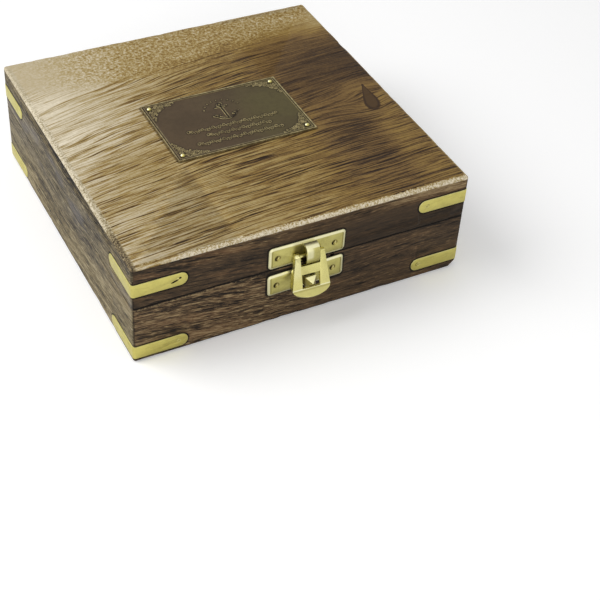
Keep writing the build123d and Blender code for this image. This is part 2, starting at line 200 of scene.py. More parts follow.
class CompassBoxStage(bpy.types.PropertyGroup):
    """The floor and the lamps."""

    floor: colour_setting("Floor", "Colour of the floor", 251, 251, 251)
    key_power: power_setting("Key lamp", "Power of the large lamp at the back left", 8.0)
    fill_power: power_setting("Fill lamp", "Power of the lamp in front", 3.6)
    sky: bpy.props.FloatProperty(
        name="Sky", description="Strength of the even light from all round", min=0.0, default=0.5
    )


class Field:
    """The output of a shader node. Arithmetic on fields adds Math nodes."""

    def __init__(self, tree, kind, settings=None, sockets=None, output=0):
        node = tree.nodes.new(kind)
        for name, value in (settings or {}).items():
            if name == "stops":
                elements = node.color_ramp.elements
                elements[0].position, elements[0].color = value[0]
                elements[1].position, elements[1].color = value[-1]
                for position, colour in value[1:-1]:
                    elements.new(position).color = colour
            else:
                setattr(node, name, value)
        for name, value in (sockets or {}).items():
            if isinstance(value, Field):
                tree.links.new(value.socket, node.inputs[name])
            else:
                node.inputs[name].default_value = value
        self.tree = tree
        self.socket = node.outputs[output]

    def math(self, operation, *values):
        return Field(self.tree, "ShaderNodeMath", {"operation": operation}, dict(enumerate(values)))

    def __add__(self, other):
        return self.math("ADD", self, other)

    def __radd__(self, other):
        return self.math("ADD", other, self)

    def __sub__(self, other):
        return self.math("SUBTRACT", self, other)

    def __rsub__(self, other):
        return self.math("SUBTRACT", other, self)

    def __mul__(self, other):
        return self.math("MULTIPLY", self, other)

    def __truediv__(self, other):
        return self.math("DIVIDE", self, other)

    def __pow__(self, other):
        return self.math("POWER", self, other)

    def __neg__(self):
        return self.math("MULTIPLY", self, -1.0)

    def __abs__(self):
        return self.math("ABSOLUTE", self)

    def least(self, other):
        return self.math("MINIMUM", self, other)

    def most(self, other):
        return self.math("MAXIMUM", self, other)

    def exp(self):
        return self.math("EXPONENT", self)

    def between(self, low, high):
        """0 below low, 1 above high and smooth between, or the other way round if low is more."""
        sockets = {"Value": self, "From Min": low, "From Max": high, "To Min": 0.0, "To Max": 1.0}
        if low > high:
            sockets.update({"From Min": high, "From Max": low, "To Min": 1.0, "To Max": 0.0})
        return Field(self.tree, "ShaderNodeMapRange", {"interpolation_type": "SMOOTHSTEP"}, sockets)

    def towards(self, other, share):
        """Moves from this field to another one, or a number, by a share."""
        return self + (other - self) * share


def blend(factor, first, second):
    """Mixes two colours. The factor is a field."""
    sockets = {0: factor}
    for index, value in ((6, first), (7, second)):
        sockets[index] = value if isinstance(value, Field) else (*value, 1.0)
    return Field(factor.tree, "ShaderNodeMix", {"data_type": "RGBA"}, sockets, 2)


def ramp(field, *stops):
    """A colour from a field, through a list of places and their colours."""
    stops = [(position, (*colour, 1.0)) for position, colour in stops]
    return Field(field.tree, "ShaderNodeValToRGB", {"stops": stops}, {"Fac": field})


def vector(x, y, z):
    """Joins three fields or numbers, at least one of them a field, to one vector."""
    tree = next(v.tree for v in (x, y, z) if isinstance(v, Field))
    return Field(tree, "ShaderNodeCombineXYZ", None, {"X": x, "Y": y, "Z": z}, "Vector")


def grain_noise(x, y, z, detail=2.0, roughness=0.5, distortion=0.0):
    """Noise at a place that is already scaled, from about 0 to 1."""
    sockets = {
        "Vector": vector(x, y, z),
        "Scale": 1.0,
        "Detail": detail,
        "Roughness": roughness,
        "Distortion": distortion,
    }
    return Field(y.tree, "ShaderNodeTexNoise", {"noise_dimensions": "3D"}, sockets, "Fac")


def even_noise(x, y, z, scale, *quality):
    """Noise that is scaled alike along all three axes."""
    return grain_noise(x * scale, y * scale, z * scale, *quality)


def hill(*terms):
    """1 in the middle, falling smoothly to 0. Each term is a field, its middle and its reach."""
    total = 0.0
    for field, middle, reach in terms:
        u = (field - middle) / reach
        total = u * u + total
    return (-total).exp()


def outside(u, v, low, high, radius):
    """How far a place is outside a rounded rectangle, in millimetres. It is less than 0 inside."""
    past = []
    for value, start, end in ((u, low[0], high[0]), (v, low[1], high[1])):
        past.append((abs(value - (start + end) / 2) - ((end - start) / 2 - radius)).most(0.0))
    return (past[0] * past[0] + past[1] * past[1]) ** 0.5 - radius


def new_material(name):
    """A new material, its Principled shader, and x, y and z on the piece in millimetres."""
    material = bpy.data.materials.new(name)
    material.use_nodes = True
    tree = material.node_tree
    shader = tree.nodes["Principled BSDF"]
    coordinates = Field(tree, "ShaderNodeTexCoord", None, None, "Object")
    sockets = {0: coordinates, "Scale": 1 / MM}
    in_mm = Field(tree, "ShaderNodeVectorMath", {"operation": "SCALE"}, sockets)
    parts = [Field(tree, "ShaderNodeSeparateXYZ", None, {0: in_mm}, axis) for axis in range(3)]
    return material, shader, parts


def attribute(material, name):
    """The value of one of a piece's own attributes."""
    return Field(material.node_tree, "ShaderNodeAttribute", {"attribute_name": name}, None, "Fac")


def ray(tree, kind):
    """1 for rays of a kind and 0 for others."""
    return Field(tree, "ShaderNodeLightPath", None, None, f"Is {kind} Ray")


def feed(shader, **sockets):
    """Links fields to a shader's sockets or sets them to numbers, by names such as Base_Color."""
    tree = shader.id_data
    for name, value in sockets.items():
        target = shader.inputs[name.replace("_", " ")]
        if isinstance(value, Field):
            tree.links.new(value.socket, target)
        else:
            target.default_value = value


def bump(height, depth_mm, strength):
    """A surface normal from a height field, whose full range stands for this depth."""
    sockets = {"Height": height, "Distance": depth_mm * MM, "Strength": strength}
    return Field(height.tree, "ShaderNodeBump", None, sockets, "Normal")


def fittings(side):
    """Low and high corners, along a side and up it, and corner radius of each brass part on it."""
    axis = 0 if side in FACING_Y else 1
    found = []
    for half in HALVES:
        for corner in CORNERS:
            if side in corner:
                low, high = box_mm(f"{half}_strap_{corner}")
                # A strap goes on round the corner, so its outline is open there.
                start = low[axis] - (10 if low[axis] < 0 else 0)
                end = high[axis] + (0 if low[axis] < 0 else 10)
                found.append(((start, low.z), (end, high.z), STRAP_CORNER))
    if side == "front":
        for node in ("latch_upper_plate", "latch_lower_plate"):
            low, high = box_mm(node)
            found.append(((low.x, low.z), (high.x, high.z), PLATE_CORNER))
    return found


def wall_tone(side, run, z, broad):
    """How light the stain is on one side of the box, and how strongly its grain shows."""
    if side == "front":
        left = run.between(14, -22)
        base_tone = 0.23 + left * 0.053 + z.between(18, 9) * (0.02 + left * 0.022)
        rubbed_top = run.between(10, 80) * 0.24 + run.between(-45, -28) * run.between(6, -4) * 0.05
        top_band = z.between(45.5, 49.5) * rubbed_top
        upper = z.between(37, 46) * (0.04 - run.between(-35, -60) * 0.04)
        lid_tone = 0.19 + run.between(5, -50) * 0.03 + upper + top_band
        base_contrast = 0.9 + left * 1.25
        lid_contrast = 0.36 + run.between(0, -40) * 0.5 + top_band * 5.0 + z.between(44, 48) * 0.35
        in_lid = z.between(SEAM_Z / MM - 0.3, SEAM_Z / MM + 0.3)
        return base_tone.towards(lid_tone, in_lid), base_contrast.towards(lid_contrast, in_lid)
    if side == "left":
        # The left side is lighter than the front, partly as painted sheen
        tone = 0.385 + run.between(-20, -75) * 0.075 + run.between(10, 70) * 0.04
        tone = tone + z.between(21, 2) * (0.062 + run.between(0, 60) * 0.03)
        tone = tone + run.between(-25, 0) * z.between(28, 34) * 0.02 - z.between(26, 34) * 0.03
        tone = tone - z.between(43, 47.5) * (run.between(20, -10) * 0.015 + 0.1)
        return tone, 1.75 + z.between(26, 12) * 0.4 + z.between(42, 46) * 0.5
    return 0.24 + (broad - 0.5) * 0.25 + z.between(47, 51) * 0.05, 0.6 + (broad - 0.35) * 0.8


def weathered_with_sheen(tone, run, z, seed):
    """The left side's colour: grey in the middle, from weathering and painted sheen, warmer low
    down, at the front and at the top.
    """
    wood = bpy.context.scene.compass_box_wood
    dark = ((0.15, wood.soot), (0.24, wood.grey_dark))
    grey = ramp(tone, *dark, (0.42, wood.grey), (0.6, wood.grey_light))
    warm = ramp(tone, *dark, (0.45, wood.grey_warm), (0.62, wood.grey_light))
    low_or_near = (z.between(28, 10) * 0.75).most(run.between(-35, -75) * 0.9)
    colour = blend(low_or_near.most(z.between(43, 47) * 0.8), grey, warm)
    # Cool grey patches of painted sheen in the upper middle
    cool = grain_noise(run * 0.04 + seed, z * 0.07, 9.0).between(0.48, 0.62) * z.between(22, 34)
    return blend(cool * z.between(46, 42) * 0.35, colour, wood.grey_cool)


def stained(side, x, y, z):
    """Colour and grain height of the stain on one side of the box, with dirt and painted shade
    round its fittings.
    """
    wood = bpy.context.scene.compass_box_wood
    seam = SEAM_Z / MM
    run = x if side in FACING_Y else y
    seed = {"front": 0.0, "back": 31.0, "left": 12.0, "right": 56.0}[side]

    # The grain runs nearly level, but sinks towards the middle on the left half.
    wander = grain_noise(run * 0.02 + seed, z * 0.06, seed)
    up = z + run.least(0.0) * 0.12 + wander * 5
    broad = grain_noise(run * 0.02 + seed, z * 0.05, seed)
    band = grain_noise(run * 0.018 + seed, up * 0.2, seed, 2.0, 0.6)
    streak = grain_noise(run * 0.055 + seed, up * 0.85, seed, 3.0, 0.75)
    fleck = grain_noise(run * 0.2 + seed, up * 1.3, seed, 3.0, 0.7)
    hair = grain_noise(run * 0.18 + seed, up * 2.6, seed, 3.0, 0.7)

    tone, contrast = wall_tone(side, run, z, broad)
    lines = streak.between(0.47, 0.38)
    lights = fleck.between(0.56, 0.68)
    grain = (streak - 0.5) * 0.3 + (band - 0.5) * 0.3 + (fleck - 0.5) * 0.26 + (hair - 0.5) * 0.36
    tone = tone + (grain + lights * 0.08 - lines * 0.035) * contrast
    if side == "left":
        colour = weathered_with_sheen(tone, run, z, seed)
    else:
        colour = ramp(
            tone,
            (0.12, wood.soot),
            (0.17, wood.stain),
            (0.24, wood.stain_worn),
            (0.355, wood.stain_thin),
            (0.52, wood.stain_light),
        )
        red = (broad * 0.4 + band * 0.6).between(0.5, 0.62) * 0.22
        colour = blend(red * tone.between(0.2, 0.3), colour, wood.red)

    # Dirt and painted shade in the seam and round the brass, and darker along the foot and down the
    # corners
    crumble = even_noise(x, y, z, 0.8, 3.0, 0.7)
    seam_share, corner_share = (0.3, 0.45) if side == "left" else (1.0, 0.75)
    dirt_and_shade = (abs(z - seam) + crumble * 0.9).between(1.25, 0.7) * seam_share
    for low, high, radius in fittings(side):
        beside = outside(run, z, low, high, radius) + (crumble - 0.5) * 0.6
        dirt_and_shade = dirt_and_shade.most(beside.between(1.15, 0.35) * 0.92)
    to_corner = (HALF_X if side in FACING_Y else HALF_Y) / MM - abs(run)
    dirt_and_shade = dirt_and_shade.most((to_corner + crumble * 1.2).between(1.9, 1.0) * corner_share)
    dirt_and_shade = dirt_and_shade.most((z + crumble * 1.6).between(2.3, 1.1) * 0.8)

    # A thin pale line where the rim of the base is rubbed, under the seam
    under = seam - z
    rim = (under + (crumble - 0.5) * 1.2).between(0.7, 1.0) * under.between(1.8, 1.2)
    share = rim * run.between(0, -50) * crumble.between(0.42, 0.6) * 0.6
    colour = blend(dirt_and_shade, blend(share, colour, wood.stain_light), wood.soot)
    return colour, (streak - lines * 0.3) * 0.6 + fleck * 0.2 + hair * 0.2


def plain_inside(side, colour, depth, x, y, z):
    """Bare wood instead of the stain on faces that lie deeper than this, in millimetres."""
    wood = bpy.context.scene.compass_box_wood
    run, other = (x, y) if side in FACING_Y else (y, x)
    grain = grain_noise(run * 0.03, other * 0.9, z * 0.9, 3.0, 0.65)
    bare = blend(grain.between(0.35, 0.6), wood.brown, wood.inside)
    return blend(depth.between(1.3, 1.9), colour, bare)


def lid_light(x, y, smear):
    """How light the lid is: golden at the front left, darker to the right, faded at the back, with
    painted sheen at the back left.
    """
    tone = 0.555 - (x + 70) * 0.0021 + y.between(-40, 15) * x.between(-15, -62) * 0.125
    tone = tone + x.between(56, 72) * (y.between(12, 2) * 0.1 + y.between(-26, -34) * 0.02)
    tone = tone - hill((y, 19, 20)) * x.between(-36, -5) * 0.055 - y.between(-15, -35) * 0.018

    # Darker and lighter patches: the middle, how far they reach along x and y, and the change
    patches = (
        (53, -30, 14, 19, -0.065),
        (-54, -24, 24, 18, -0.065),
        (-58, -4, 20, 18, -0.06),
        (50, -16, 12, 12, -0.035),
        (-70, 42, 22, 20, 0.05),
    )
    for middle_x, middle_y, reach_x, reach_y, change in patches:
        tone = tone + hill((x, middle_x, reach_x), (y, middle_y, reach_y)) * change
    # Faded at the back, and paler towards the back left with painted sheen
    back_tone = 0.548 + x.between(-5, -78) * 0.14
    edge_of_grain = y - 50 - x.between(-25, 40) * 7 + (smear - 0.5) * 20
    return tone.towards(back_tone, edge_of_grain.between(-13, 13)) + (smear - 0.5) * 0.07


def rub_edges(tone, x, y, z):
    """The lid's tone with bare wood along its edges, how far it is rubbed, and how coarsely."""
    wear = bpy.context.scene.compass_box_wear
    from_front, from_left = y + HALF_Y / MM, x + HALF_X / MM
    from_back, from_right = HALF_Y / MM - y, HALF_X / MM - x
    crumble = even_noise(x, y, z, 0.5, 4.0, 0.78)
    sweep = even_noise(x, y, z, 0.06)
    speck = even_noise(x, y, z, 1.1, 3.0, 0.8)
    rub = 0.0
    arris = 0.0
    edges = (
        (from_front, wear.rub_front, x.between(-72, -52) * 0.85 + 0.15),
        (from_left, wear.rub_left, y.between(-74, -52) * 0.85 * (1.0 - y.between(25, 70) * 0.6)),
        (from_right, wear.rub_other, y.between(70, -60) * 0.4 + 0.3),
        (from_back, wear.rub_other, x.between(10, 60) * 0.5),
    )
    for inward, width, presence in edges:
        width_mm = width / MM
        ragged = ((crumble - 0.5) * 4.5 + (sweep - 0.5) * 3.0) * min(1.0, width_mm / 3)
        rub = ((inward + ragged).between(width_mm, width_mm * 0.6) * presence).most(rub)
        uneven = inward + (crumble - 0.5) * 1.6 + (sweep - 0.5) * 1.0
        arris = (uneven.between(1.4, 0.7) * presence).most(arris)
    rubbed_tone = 0.7 + (speck - 0.5) * 1.7 + (sweep - 0.5) * 0.4
    tone = tone.towards(rubbed_tone.least(0.85).most(0.3), rub * 0.92)
    tone = tone.towards(0.83, arris * (1.0 - speck.between(0.56, 0.46) * 0.75))

    # A dark line inside the front edge and a grey crust on the left one, near the front left corner
    lee = from_front.between(2.6, 1.6) * from_front.between(0.8, 1.6) * x.between(-54, -70)
    tone = tone.towards(0.26, lee * crumble.between(0.4, 0.55) * 0.8)
    crust = from_left.between(2.8, 1.6) * y.between(-48, -66)
    return tone.towards(0.36 + (speck - 0.5) * 1.8, crust * 0.85), rub, rub * crumble


def board_sides(x, y, z):
    """The walls' stain on the four sides of the top board."""
    half_x, half_y = HALF_X / MM, HALF_Y / MM
    sides = {side: stained(side, x, y, z)[0] for side in SIDES}
    is_left = x.between(1.2 - half_x, 0.8 - half_x)
    is_right = x.between(half_x - 1.2, half_x - 0.8)
    is_back = y.between(half_y - 1.2, half_y - 0.8)
    colour = blend(is_left, sides["front"], sides["left"])
    colour = blend(is_right, colour, sides["right"])
    return blend(is_back * (1.0 - is_left) * (1.0 - is_right), colour, sides["back"])


def lid_wood():
    """Stained hardwood of the top board: fine grain, a knot, a faded corner and rubbed edges."""
    wood = bpy.context.scene.compass_box_wood
    material, shader, (x, y, z) = new_material("lid_wood")
    half_x, half_y, top = HALF_X / MM, HALF_Y / MM, TOP_Z / MM

    # Grain lines climb from the left edge and level out to the right, most steeply across the
    # middle, and they part round a knot near the right edge.
    knot_x, knot_y = x - 69.8 - (y + 18) * 0.2, y + 8.6
    along = (x + half_x) / (2 * half_x)
    climb = y.between(-80, 50) * 34 + 18
    parted = knot_y * hill((knot_x, 0, 14), (knot_y, 0, 13))
    wander = grain_noise(x * 0.014, y * 0.04, z * 0.02)
    across = y - climb * (along - along * along * 0.45) + wander * 5 - parted * 0.6

    coarse = grain_noise(x * 0.01, across * 0.14, z * 0.1)
    streak = grain_noise(x * 0.018, across * 0.45, z * 0.4, 2.0, 0.6)
    fine = grain_noise(x * 0.036 + 7.0, across * 1.3, z * 0.9, 2.0, 0.65)
    hair = grain_noise(x * 0.08, across * 2.9, z * 2.0, 2.0, 0.65)
    pore = grain_noise(x * 0.05 + 3.0, across * 1.15 + 9.0, z * 0.9, 1.0)
    fleck = grain_noise(x * 0.72 + y * 0.18, y * 0.66 - x * 0.16, z * 0.4, 2.0, 0.75)
    smear = grain_noise(x * 0.03, y * 0.05, z * 0.02)

    # The grain fades out towards the flecked back, and is weaker where the wood is pale or smoky.
    flecked = (y - 50 - (x + 20) * (x + 20) * 0.0022 + (smear - 0.5) * 10).between(-7, 6)
    calm = x.between(-30, -62) * y.between(4, 34)
    smoky = x.between(22, 48) * y.between(-12, 10)
    amount = (1.0 - flecked * 0.9) * (1.0 - calm * 0.45) * (1.0 - smoky * 0.45)
    amount = amount * (1.0 - x.between(10, 50) * 0.28)
    lines = (streak * 0.3 + fine * 0.7).between(0.46, 0.37)
    pores = pore.between(0.56, 0.66)
    grain = (coarse - 0.5) * 0.12 + (streak - 0.5) * 0.3 + (fine - 0.5) * 0.82 + (hair - 0.5) * 0.8
    grain = grain.least(0.075) * 1.4 + 0.014
    tone = lid_light(x, y, smear)
    tone = tone + (grain - (lines - 0.3) * 0.1 - (pores - 0.2) * 0.11) * amount
    tone = tone + (fleck - 0.5) * (flecked * 0.72 * x.between(-80, -35) + 0.15)

    # The knot is a dark drop, pointed at the back, with a darker outline.
    spread = knot_y.between(11, -7) * 2.7 + 0.7
    u, v = knot_x / spread, knot_y / 10
    core = u * u + (v * v) ** 2 + (fine - 0.5) * 0.8
    tone = tone.towards(0.245, core.between(2.0, 1.0))
    tone = tone.towards(0.17, core.between(0.6, 1.0) * core.between(1.9, 1.2) * 0.8)

    tone, rub, crumbled = rub_edges(tone, x, y, z)
    colour = ramp(
        tone,
        (0.135, wood.deep),
        (0.22, wood.dark),
        (0.31, wood.brown),
        (0.39, wood.amber),
        (0.487, wood.gold),
        (0.6, wood.sand),
        (0.72, wood.pale),
        (0.87, wood.bare),
    )
    greyed = ramp(
        tone,
        (0.13, wood.soot),
        (0.24, wood.grey_dark),
        (0.42, wood.grey),
        (0.62, wood.grey_light),
        (0.87, wood.bare),
    )
    colour = blend((x + half_x).between(3.4, 2.0) * 0.75, colour, greyed)

    # A thin dark line round the plaque
    low, high = box_mm("plaque")
    beside = outside(x, y, (low.x, low.y), (high.x, high.y), PLAQUE_CORNER)
    colour = blend(beside.between(1.1, 0.2) * 0.6, colour, wood.deep)

    # Below the arris the board's sides carry the walls' stain, and its underside is bare.
    colour = blend(z.between(top - 1.75, top - 1.25), board_sides(x, y, z), colour)
    under = z.between(BOARD_Z / MM + 0.3, BOARD_Z / MM + 0.1)
    inner = (half_x - abs(x)).least(half_y - abs(y)) * under
    colour = plain_inside("front", colour, inner, x, y, z)

    height = streak * 0.35 + fine * 0.35 + hair * 0.2 - lines * 0.25
    height = height + crumbled * 0.9 + fleck * flecked * 0.4
    feed(
        shader,
        Base_Color=colour,
        Roughness=0.52 + lines * 0.1 + rub * 0.2,
        Normal=bump(height, 0.2, 0.9),
        Specular_IOR_Level=WOOD_SHINE,
    )
    return material


def wall_wood(side):
    """Stained hardwood of the walls on one side of the box, bare on the inner face."""
    material, shader, (x, y, z) = new_material(f"{side}_wood")
    colour, height = stained(side, x, y, z)
    depth = HALF_Y / MM - abs(y) if side in FACING_Y else HALF_X / MM - abs(x)
    feed(
        shader,
        Base_Color=plain_inside(side, colour, depth, x, y, z),
        Roughness=0.62 - height * 0.1,
        Normal=bump(height, 0.18, 0.9),
        Specular_IOR_Level=WOOD_SHINE,
    )
    return material


def bottom_wood():
    """Plain stained board under the box."""
    wood = bpy.context.scene.compass_box_wood
    material, shader, (x, y, z) = new_material("bottom_wood")
    streak = grain_noise(x * 0.02, y * 0.6, z * 0.5, 4.0, 0.68)
    hair = grain_noise(x * 0.07, y * 2.4, z * 2.0, 2.0, 0.6)
    tone = 0.3 + (streak - 0.5) * 0.4 + (hair - 0.5) * 0.2
    stops = (0.12, wood.soot), (0.2, wood.stain), (0.3, wood.stain_worn), (0.45, wood.stain_thin)
    feed(
        shader,
        Base_Color=ramp(tone, *stops),
        Roughness=0.6,
        Normal=bump(streak, 0.15, 0.9),
        Specular_IOR_Level=WOOD_SHINE,
    )
    return material


def brass(name, colour, roughness, tarnish_share, marks=None):
    """Rubbed brass with faint scratches and dull spots, and a painted highlight where its rim
    attribute is 1.

    Marks, a function of x, y and z, gives how dark and how bright the brass is at a place.
    """
    metal = bpy.context.scene.compass_box_metal
    material, shader, (x, y, z) = new_material(name)
    cloud = even_noise(x, y, z, 0.2, 3.0, 0.6)
    spot = even_noise(x, y, z, 1.1, 3.0, 0.7)
    scratch = grain_noise(x * 0.6, y * 0.6, z * 4.0, 2.0, 0.6)
    dull = (cloud * 0.6 + spot * 0.4).between(0.42, 0.68) * tarnish_share
    dark, bright = marks(x, y, z) if marks else (dull * 0.0, dull * 0.0)
    shade = blend(bright, blend(dull, colour, metal.tarnish), metal.bright)
    # The marks' dark places, painted shade in part, go to tarnish and, where darkest, to pitch
    shade = blend(dark, shade, metal.tarnish)
    shade = blend(dark.between(0.7, 1.0), shade, metal.pitch)
    # Painted highlight on the bevelled edge faces
    rim = attribute(material, "rim") * (0.38 - dull * 0.3) * (1.0 - dark)
    shade = blend(rim, shade, metal.bright)
    feed(
        shader,
        Base_Color=shade,
        Metallic=1.0,
        Roughness=roughness + spot * 0.14 + dark.most(dull) * 0.2,
        Normal=bump(spot * 0.6 + scratch * 0.4, 0.03, 0.6),
    )
    return material


def dirt_and_shade_ring(x, z, centre, inner, outer):
    """A dark ring round a nail on the front: dirt, with painted shade that makes it darkest on its
    left.
    """
    u, v = x - centre[0], z - centre[1]
    away = (u * u + v * v) ** 0.5
    ring = away.between(inner - 0.25, inner) * away.between(outer, outer - 0.4)
    return ring * (0.62 + (u * -1.0 + v * 0.4).between(-0.7, 0.6) * 0.38)


def strap_marks(x, y, z):
    """Painted shade of a torn nail hole at the tip of the lid's front left strap, rings of dirt and
    painted shade on two others, and smears.
    """
    on_front = y.between(1.0 - HALF_Y / MM, -HALF_Y / MM)
    low, high = box_mm("lid_strap_front_left")
    hole_x, hole_z = high.x - 4.4, (low.z + high.z) / 2 + 0.3
    # The hole is painted shade on the flat strap
    u, v = x - hole_x, z - hole_z
    tear = ((u + 1.6) / 1.7) ** 2 + ((v + 0.35 - u * 0.3) / 0.5) ** 2
    dot = ((u - 0.9) / 0.6) ** 2 + ((v - 0.4) / 0.5) ** 2
    dark = tear.between(1.5, 0.7).most(dot.between(1.5, 0.7))
    for half, from_tip, share in (("base", 3.2, 0.6), ("lid", 4.6, 0.45)):
        low, high = box_mm(f"{half}_strap_front_right")
        centre = (low.x + from_tip, (low.z + high.z) / 2 + 0.2)
        dark = dark.most(dirt_and_shade_ring(x, z, centre, 0.5, 1.15) * share)
    smear = grain_noise(x * 0.16, y * 0.16, z * 0.6, 3.0, 0.6).between(0.52, 0.72) * 0.18
    return (dark * on_front).most(smear), smear * 0.0


def latch_nail_places():
    """Centres of the four latch nails, as x and z in millimetres."""
    places = []
    head_radius = 1.0
    for half in ("upper", "lower"):
        low, high = box_mm(f"latch_{half}_nails")
        rise = (high.z - low.z) / 2 - head_radius
        middle = (low.z + high.z) / 2
        places += [(low.x + head_radius, middle - rise), (high.x - head_radius, middle + rise)]
    return places


def plate_marks(x, y, z):
    """Painted highlights and shade on the plates' borders, dirt and painted shade round the nails,
    and painted light and shade at the roll.
    """
    dark = x * 0.0
    bright = x * 0.0
    for half in ("upper", "lower"):
        low, high = box_mm(f"latch_{half}_plate")
        tilt = math.radians(0 if half == "upper" else 2)
        middle_z = high.z - PLATE_HALF_HEIGHT if half == "upper" else (low.z + high.z) / 2
        across, up = x - (low.x + high.x) / 2, z - middle_z
        u = across * math.cos(tilt) + up * math.sin(tilt)
        v = up * math.cos(tilt) - across * math.sin(tilt)
        edge = outside(
            u,
            v,
            (-PLATE_HALF_WIDTH, -PLATE_HALF_HEIGHT),
            (PLATE_HALF_WIDTH, PLATE_HALF_HEIGHT),
            PLATE_CORNER,
        )
        # Painted highlight on each plate's bevelled border, a thin line of painted shade inside it,
        # and painted shade along its outer edge
        ends = abs(u).between(16.6, 17.2).most(abs(v).between(4.3, 4.7) * 0.5)
        bright = (edge.between(-1.25, -0.95) * edge.between(0.6, 0.2) * 0.6).most(bright)
        dark = dark.most(edge.between(-1.85, -1.6) * edge.between(-1.15, -1.4) * ends * 0.6)
        dark = dark.most(edge.between(-0.35, 0.0) * edge.between(3.0, 1.0) * 0.35)
    for centre in latch_nail_places():
        dark = dark.most(dirt_and_shade_ring(x, z, centre, 0.95, 1.75))

    # The roll stands in front of its plate: painted shadow on the plate at its left, painted shade
    # in its hollow end and low on its front, and a painted highlight high on the left of its front.
    low, high = box_mm("latch_hasp")
    roll_x = (low.x + high.x) / 2 - 0.2
    in_front = y.between(-HALF_Y / MM - 1.2, -HALF_Y / MM - 1.8)
    shadow = x.between(roll_x - 7.6, roll_x - 5.2) * x.between(roll_x - 1.5, roll_x - 2.8)
    dark = dark.most(shadow * z.between(43.5, 41.0) * (1.0 - in_front) * 0.75)
    a, b = y + HALF_Y / MM + 3.3, (z - 38.0).most(0.0) + (z - 34.4).least(0.0)
    hollow = ((a * a + b * b) ** 0.5).between(2.6, 2.2) * x.between(roll_x + 1.0, roll_x - 1.2)
    dark = dark.most(hollow * in_front * 0.95)
    front_lit = in_front * x.between(roll_x - 3.3, roll_x - 2.4) * z.between(36.0, 38.0)
    bright = bright.most(front_lit * x.between(roll_x + 1.4, roll_x - 0.2) * 0.5)
    dark = dark.most(in_front * z.between(36.6, 35.4) * 0.22)
    return dark, bright


def nail_marks(x, y, z):
    """Painted shade on the upper left of the latch's nails, and a painted highlight on their right.
    """
    dark = x * 0.0
    bright = x * 0.0
    for centre_x, centre_z in latch_nail_places():
        u, v = x - centre_x, z - centre_z
        near = (u * u + v * v).between(4.0, 3.0)
        dark = dark.most((v * 0.7 - u).between(-0.1, 0.5) * near * 0.9)
        bright = bright.most((u - v * 0.4).between(0.15, 0.5) * near)
    return dark, bright


def hasp_marks(x, y, z):
    """Painted shade on the lip and along the crease above it, a painted highlight just above the
    crease, and a faint painted highlight on the hasp's left arm.
    """
    low, high = box_mm("latch_hasp")
    middle = (low.x + high.x) / 2
    above = z - (low.z + 3.3)
    dark = above.between(0.0, -0.25) * 0.26
    dark = dark.most(above.between(-0.7, -0.35) * above.between(0.15, -0.1) * 0.5)
    bright = above.between(0.0, 0.2) * above.between(0.8, 0.5) * 0.6
    arms = abs(x - middle).between(4.5, 5.2) * z.between(24, 30) * 0.25
    return dark, bright.most(arms * (middle - x).between(-1, 1))


def stud_marks(x, y, z):
    """Painted shade on the stud's left and lower facets, and painted highlights on its right and
    upper ones.
    """
    low, high = box_mm("latch_stud")
    u, v = x - (low.x + high.x) / 2, z - (low.z + high.z) / 2
    dark = (abs(v) + u).between(0.25, -0.25) * 0.7
    bright = (u - abs(v)).between(-0.1, 0.3) * 0.85
    bright = bright.most((v - abs(u)).between(-0.1, 0.3) * 0.4)
    return dark.most((-v - abs(u)).between(-0.1, 0.3) * 0.55), bright


def plaque_nail_marks(x, y, z):
    """Painted shade on the plaque's nails towards the front right and a painted highlight on their
    back left; they are also darker low down.
    """
    low, high = box_mm("plaque")
    dark = x * 0.0
    bright = x * 0.0
    for centre_x in (low.x + NAIL_INSET, high.x - NAIL_INSET):
        for centre_y in (low.y + NAIL_INSET, high.y - NAIL_INSET):
            u, v = x - centre_x, y - centre_y
            near = (u * u + v * v).between(9.0, 6.0)
            dark = dark.most((u - v * 0.6).between(0.2, 0.9) * near * 0.75)
            bright = bright.most((v * 0.8 - u).between(0.2, 0.8) * near * 0.9)
    return dark.most(z.between(high.z + 0.35, high.z + 0.1) * 0.85), bright


def plaque_metal():
    """Dark patina, warmer to the left and greener to the right, with dirt and painted shade beside
    its raised lines, which are rubbed bright and carry painted highlights.
    """
    metal = bpy.context.scene.compass_box_metal
    material, shader, (x, y, z) = new_material("plaque_patina")
    cloud = even_noise(x, y, z, 0.05)
    grit = even_noise(x, y, z, 1.6, 3.0, 0.7)
    mottle = even_noise(x, y, z, 0.45, 3.0, 0.7)
    green = (x + (cloud - 0.5) * 60).between(-15, 35) * 0.85
    colour = blend(green, metal.bronze, metal.bronze_green)
    # The halo is dirt and painted shade beside the lines and round the nails
    halo = attribute(material, "halo") * 0.88
    for share in ((0.55 - cloud).most(0.0) * 0.9, (mottle - 0.45).most(0.0) * 0.7, halo):
        colour = blend(share, colour, metal.bronze_deep)
    # Rubbed raised lines, and painted highlights along the anchor
    wear_and_highlight = attribute(material, "line") * (0.45 + mottle.between(0.42, 0.6) * 0.55)
    feed(
        shader,
        Base_Color=blend(wear_and_highlight, colour, metal.bronze_worn),
        Metallic=0.8,
        Roughness=0.42 + grit * 0.14,
        Normal=bump(grit, 0.05, 0.5),
        Specular_IOR_Level=0.2,
    )
    return material


def felt():
    """Short matted fibres."""
    settings = bpy.context.scene.compass_box_felt
    material, shader, (x, y, z) = new_material("felt")
    fibre = even_noise(x, y, z, 2.6, 4.0, 0.7, 1.5)
    cloud = even_noise(x, y, z, 0.06)
    deep = [c * 0.45 for c in settings.colour]
    feed(
        shader,
        Base_Color=blend(fibre.between(0.35, 0.65) * 0.7 + cloud * 0.3, deep, settings.colour),
        Roughness=0.95,
        Normal=bump(fibre, 0.35, 0.8),
        Sheen_Weight=0.4,
        Sheen_Roughness=0.5,
    )
    return material


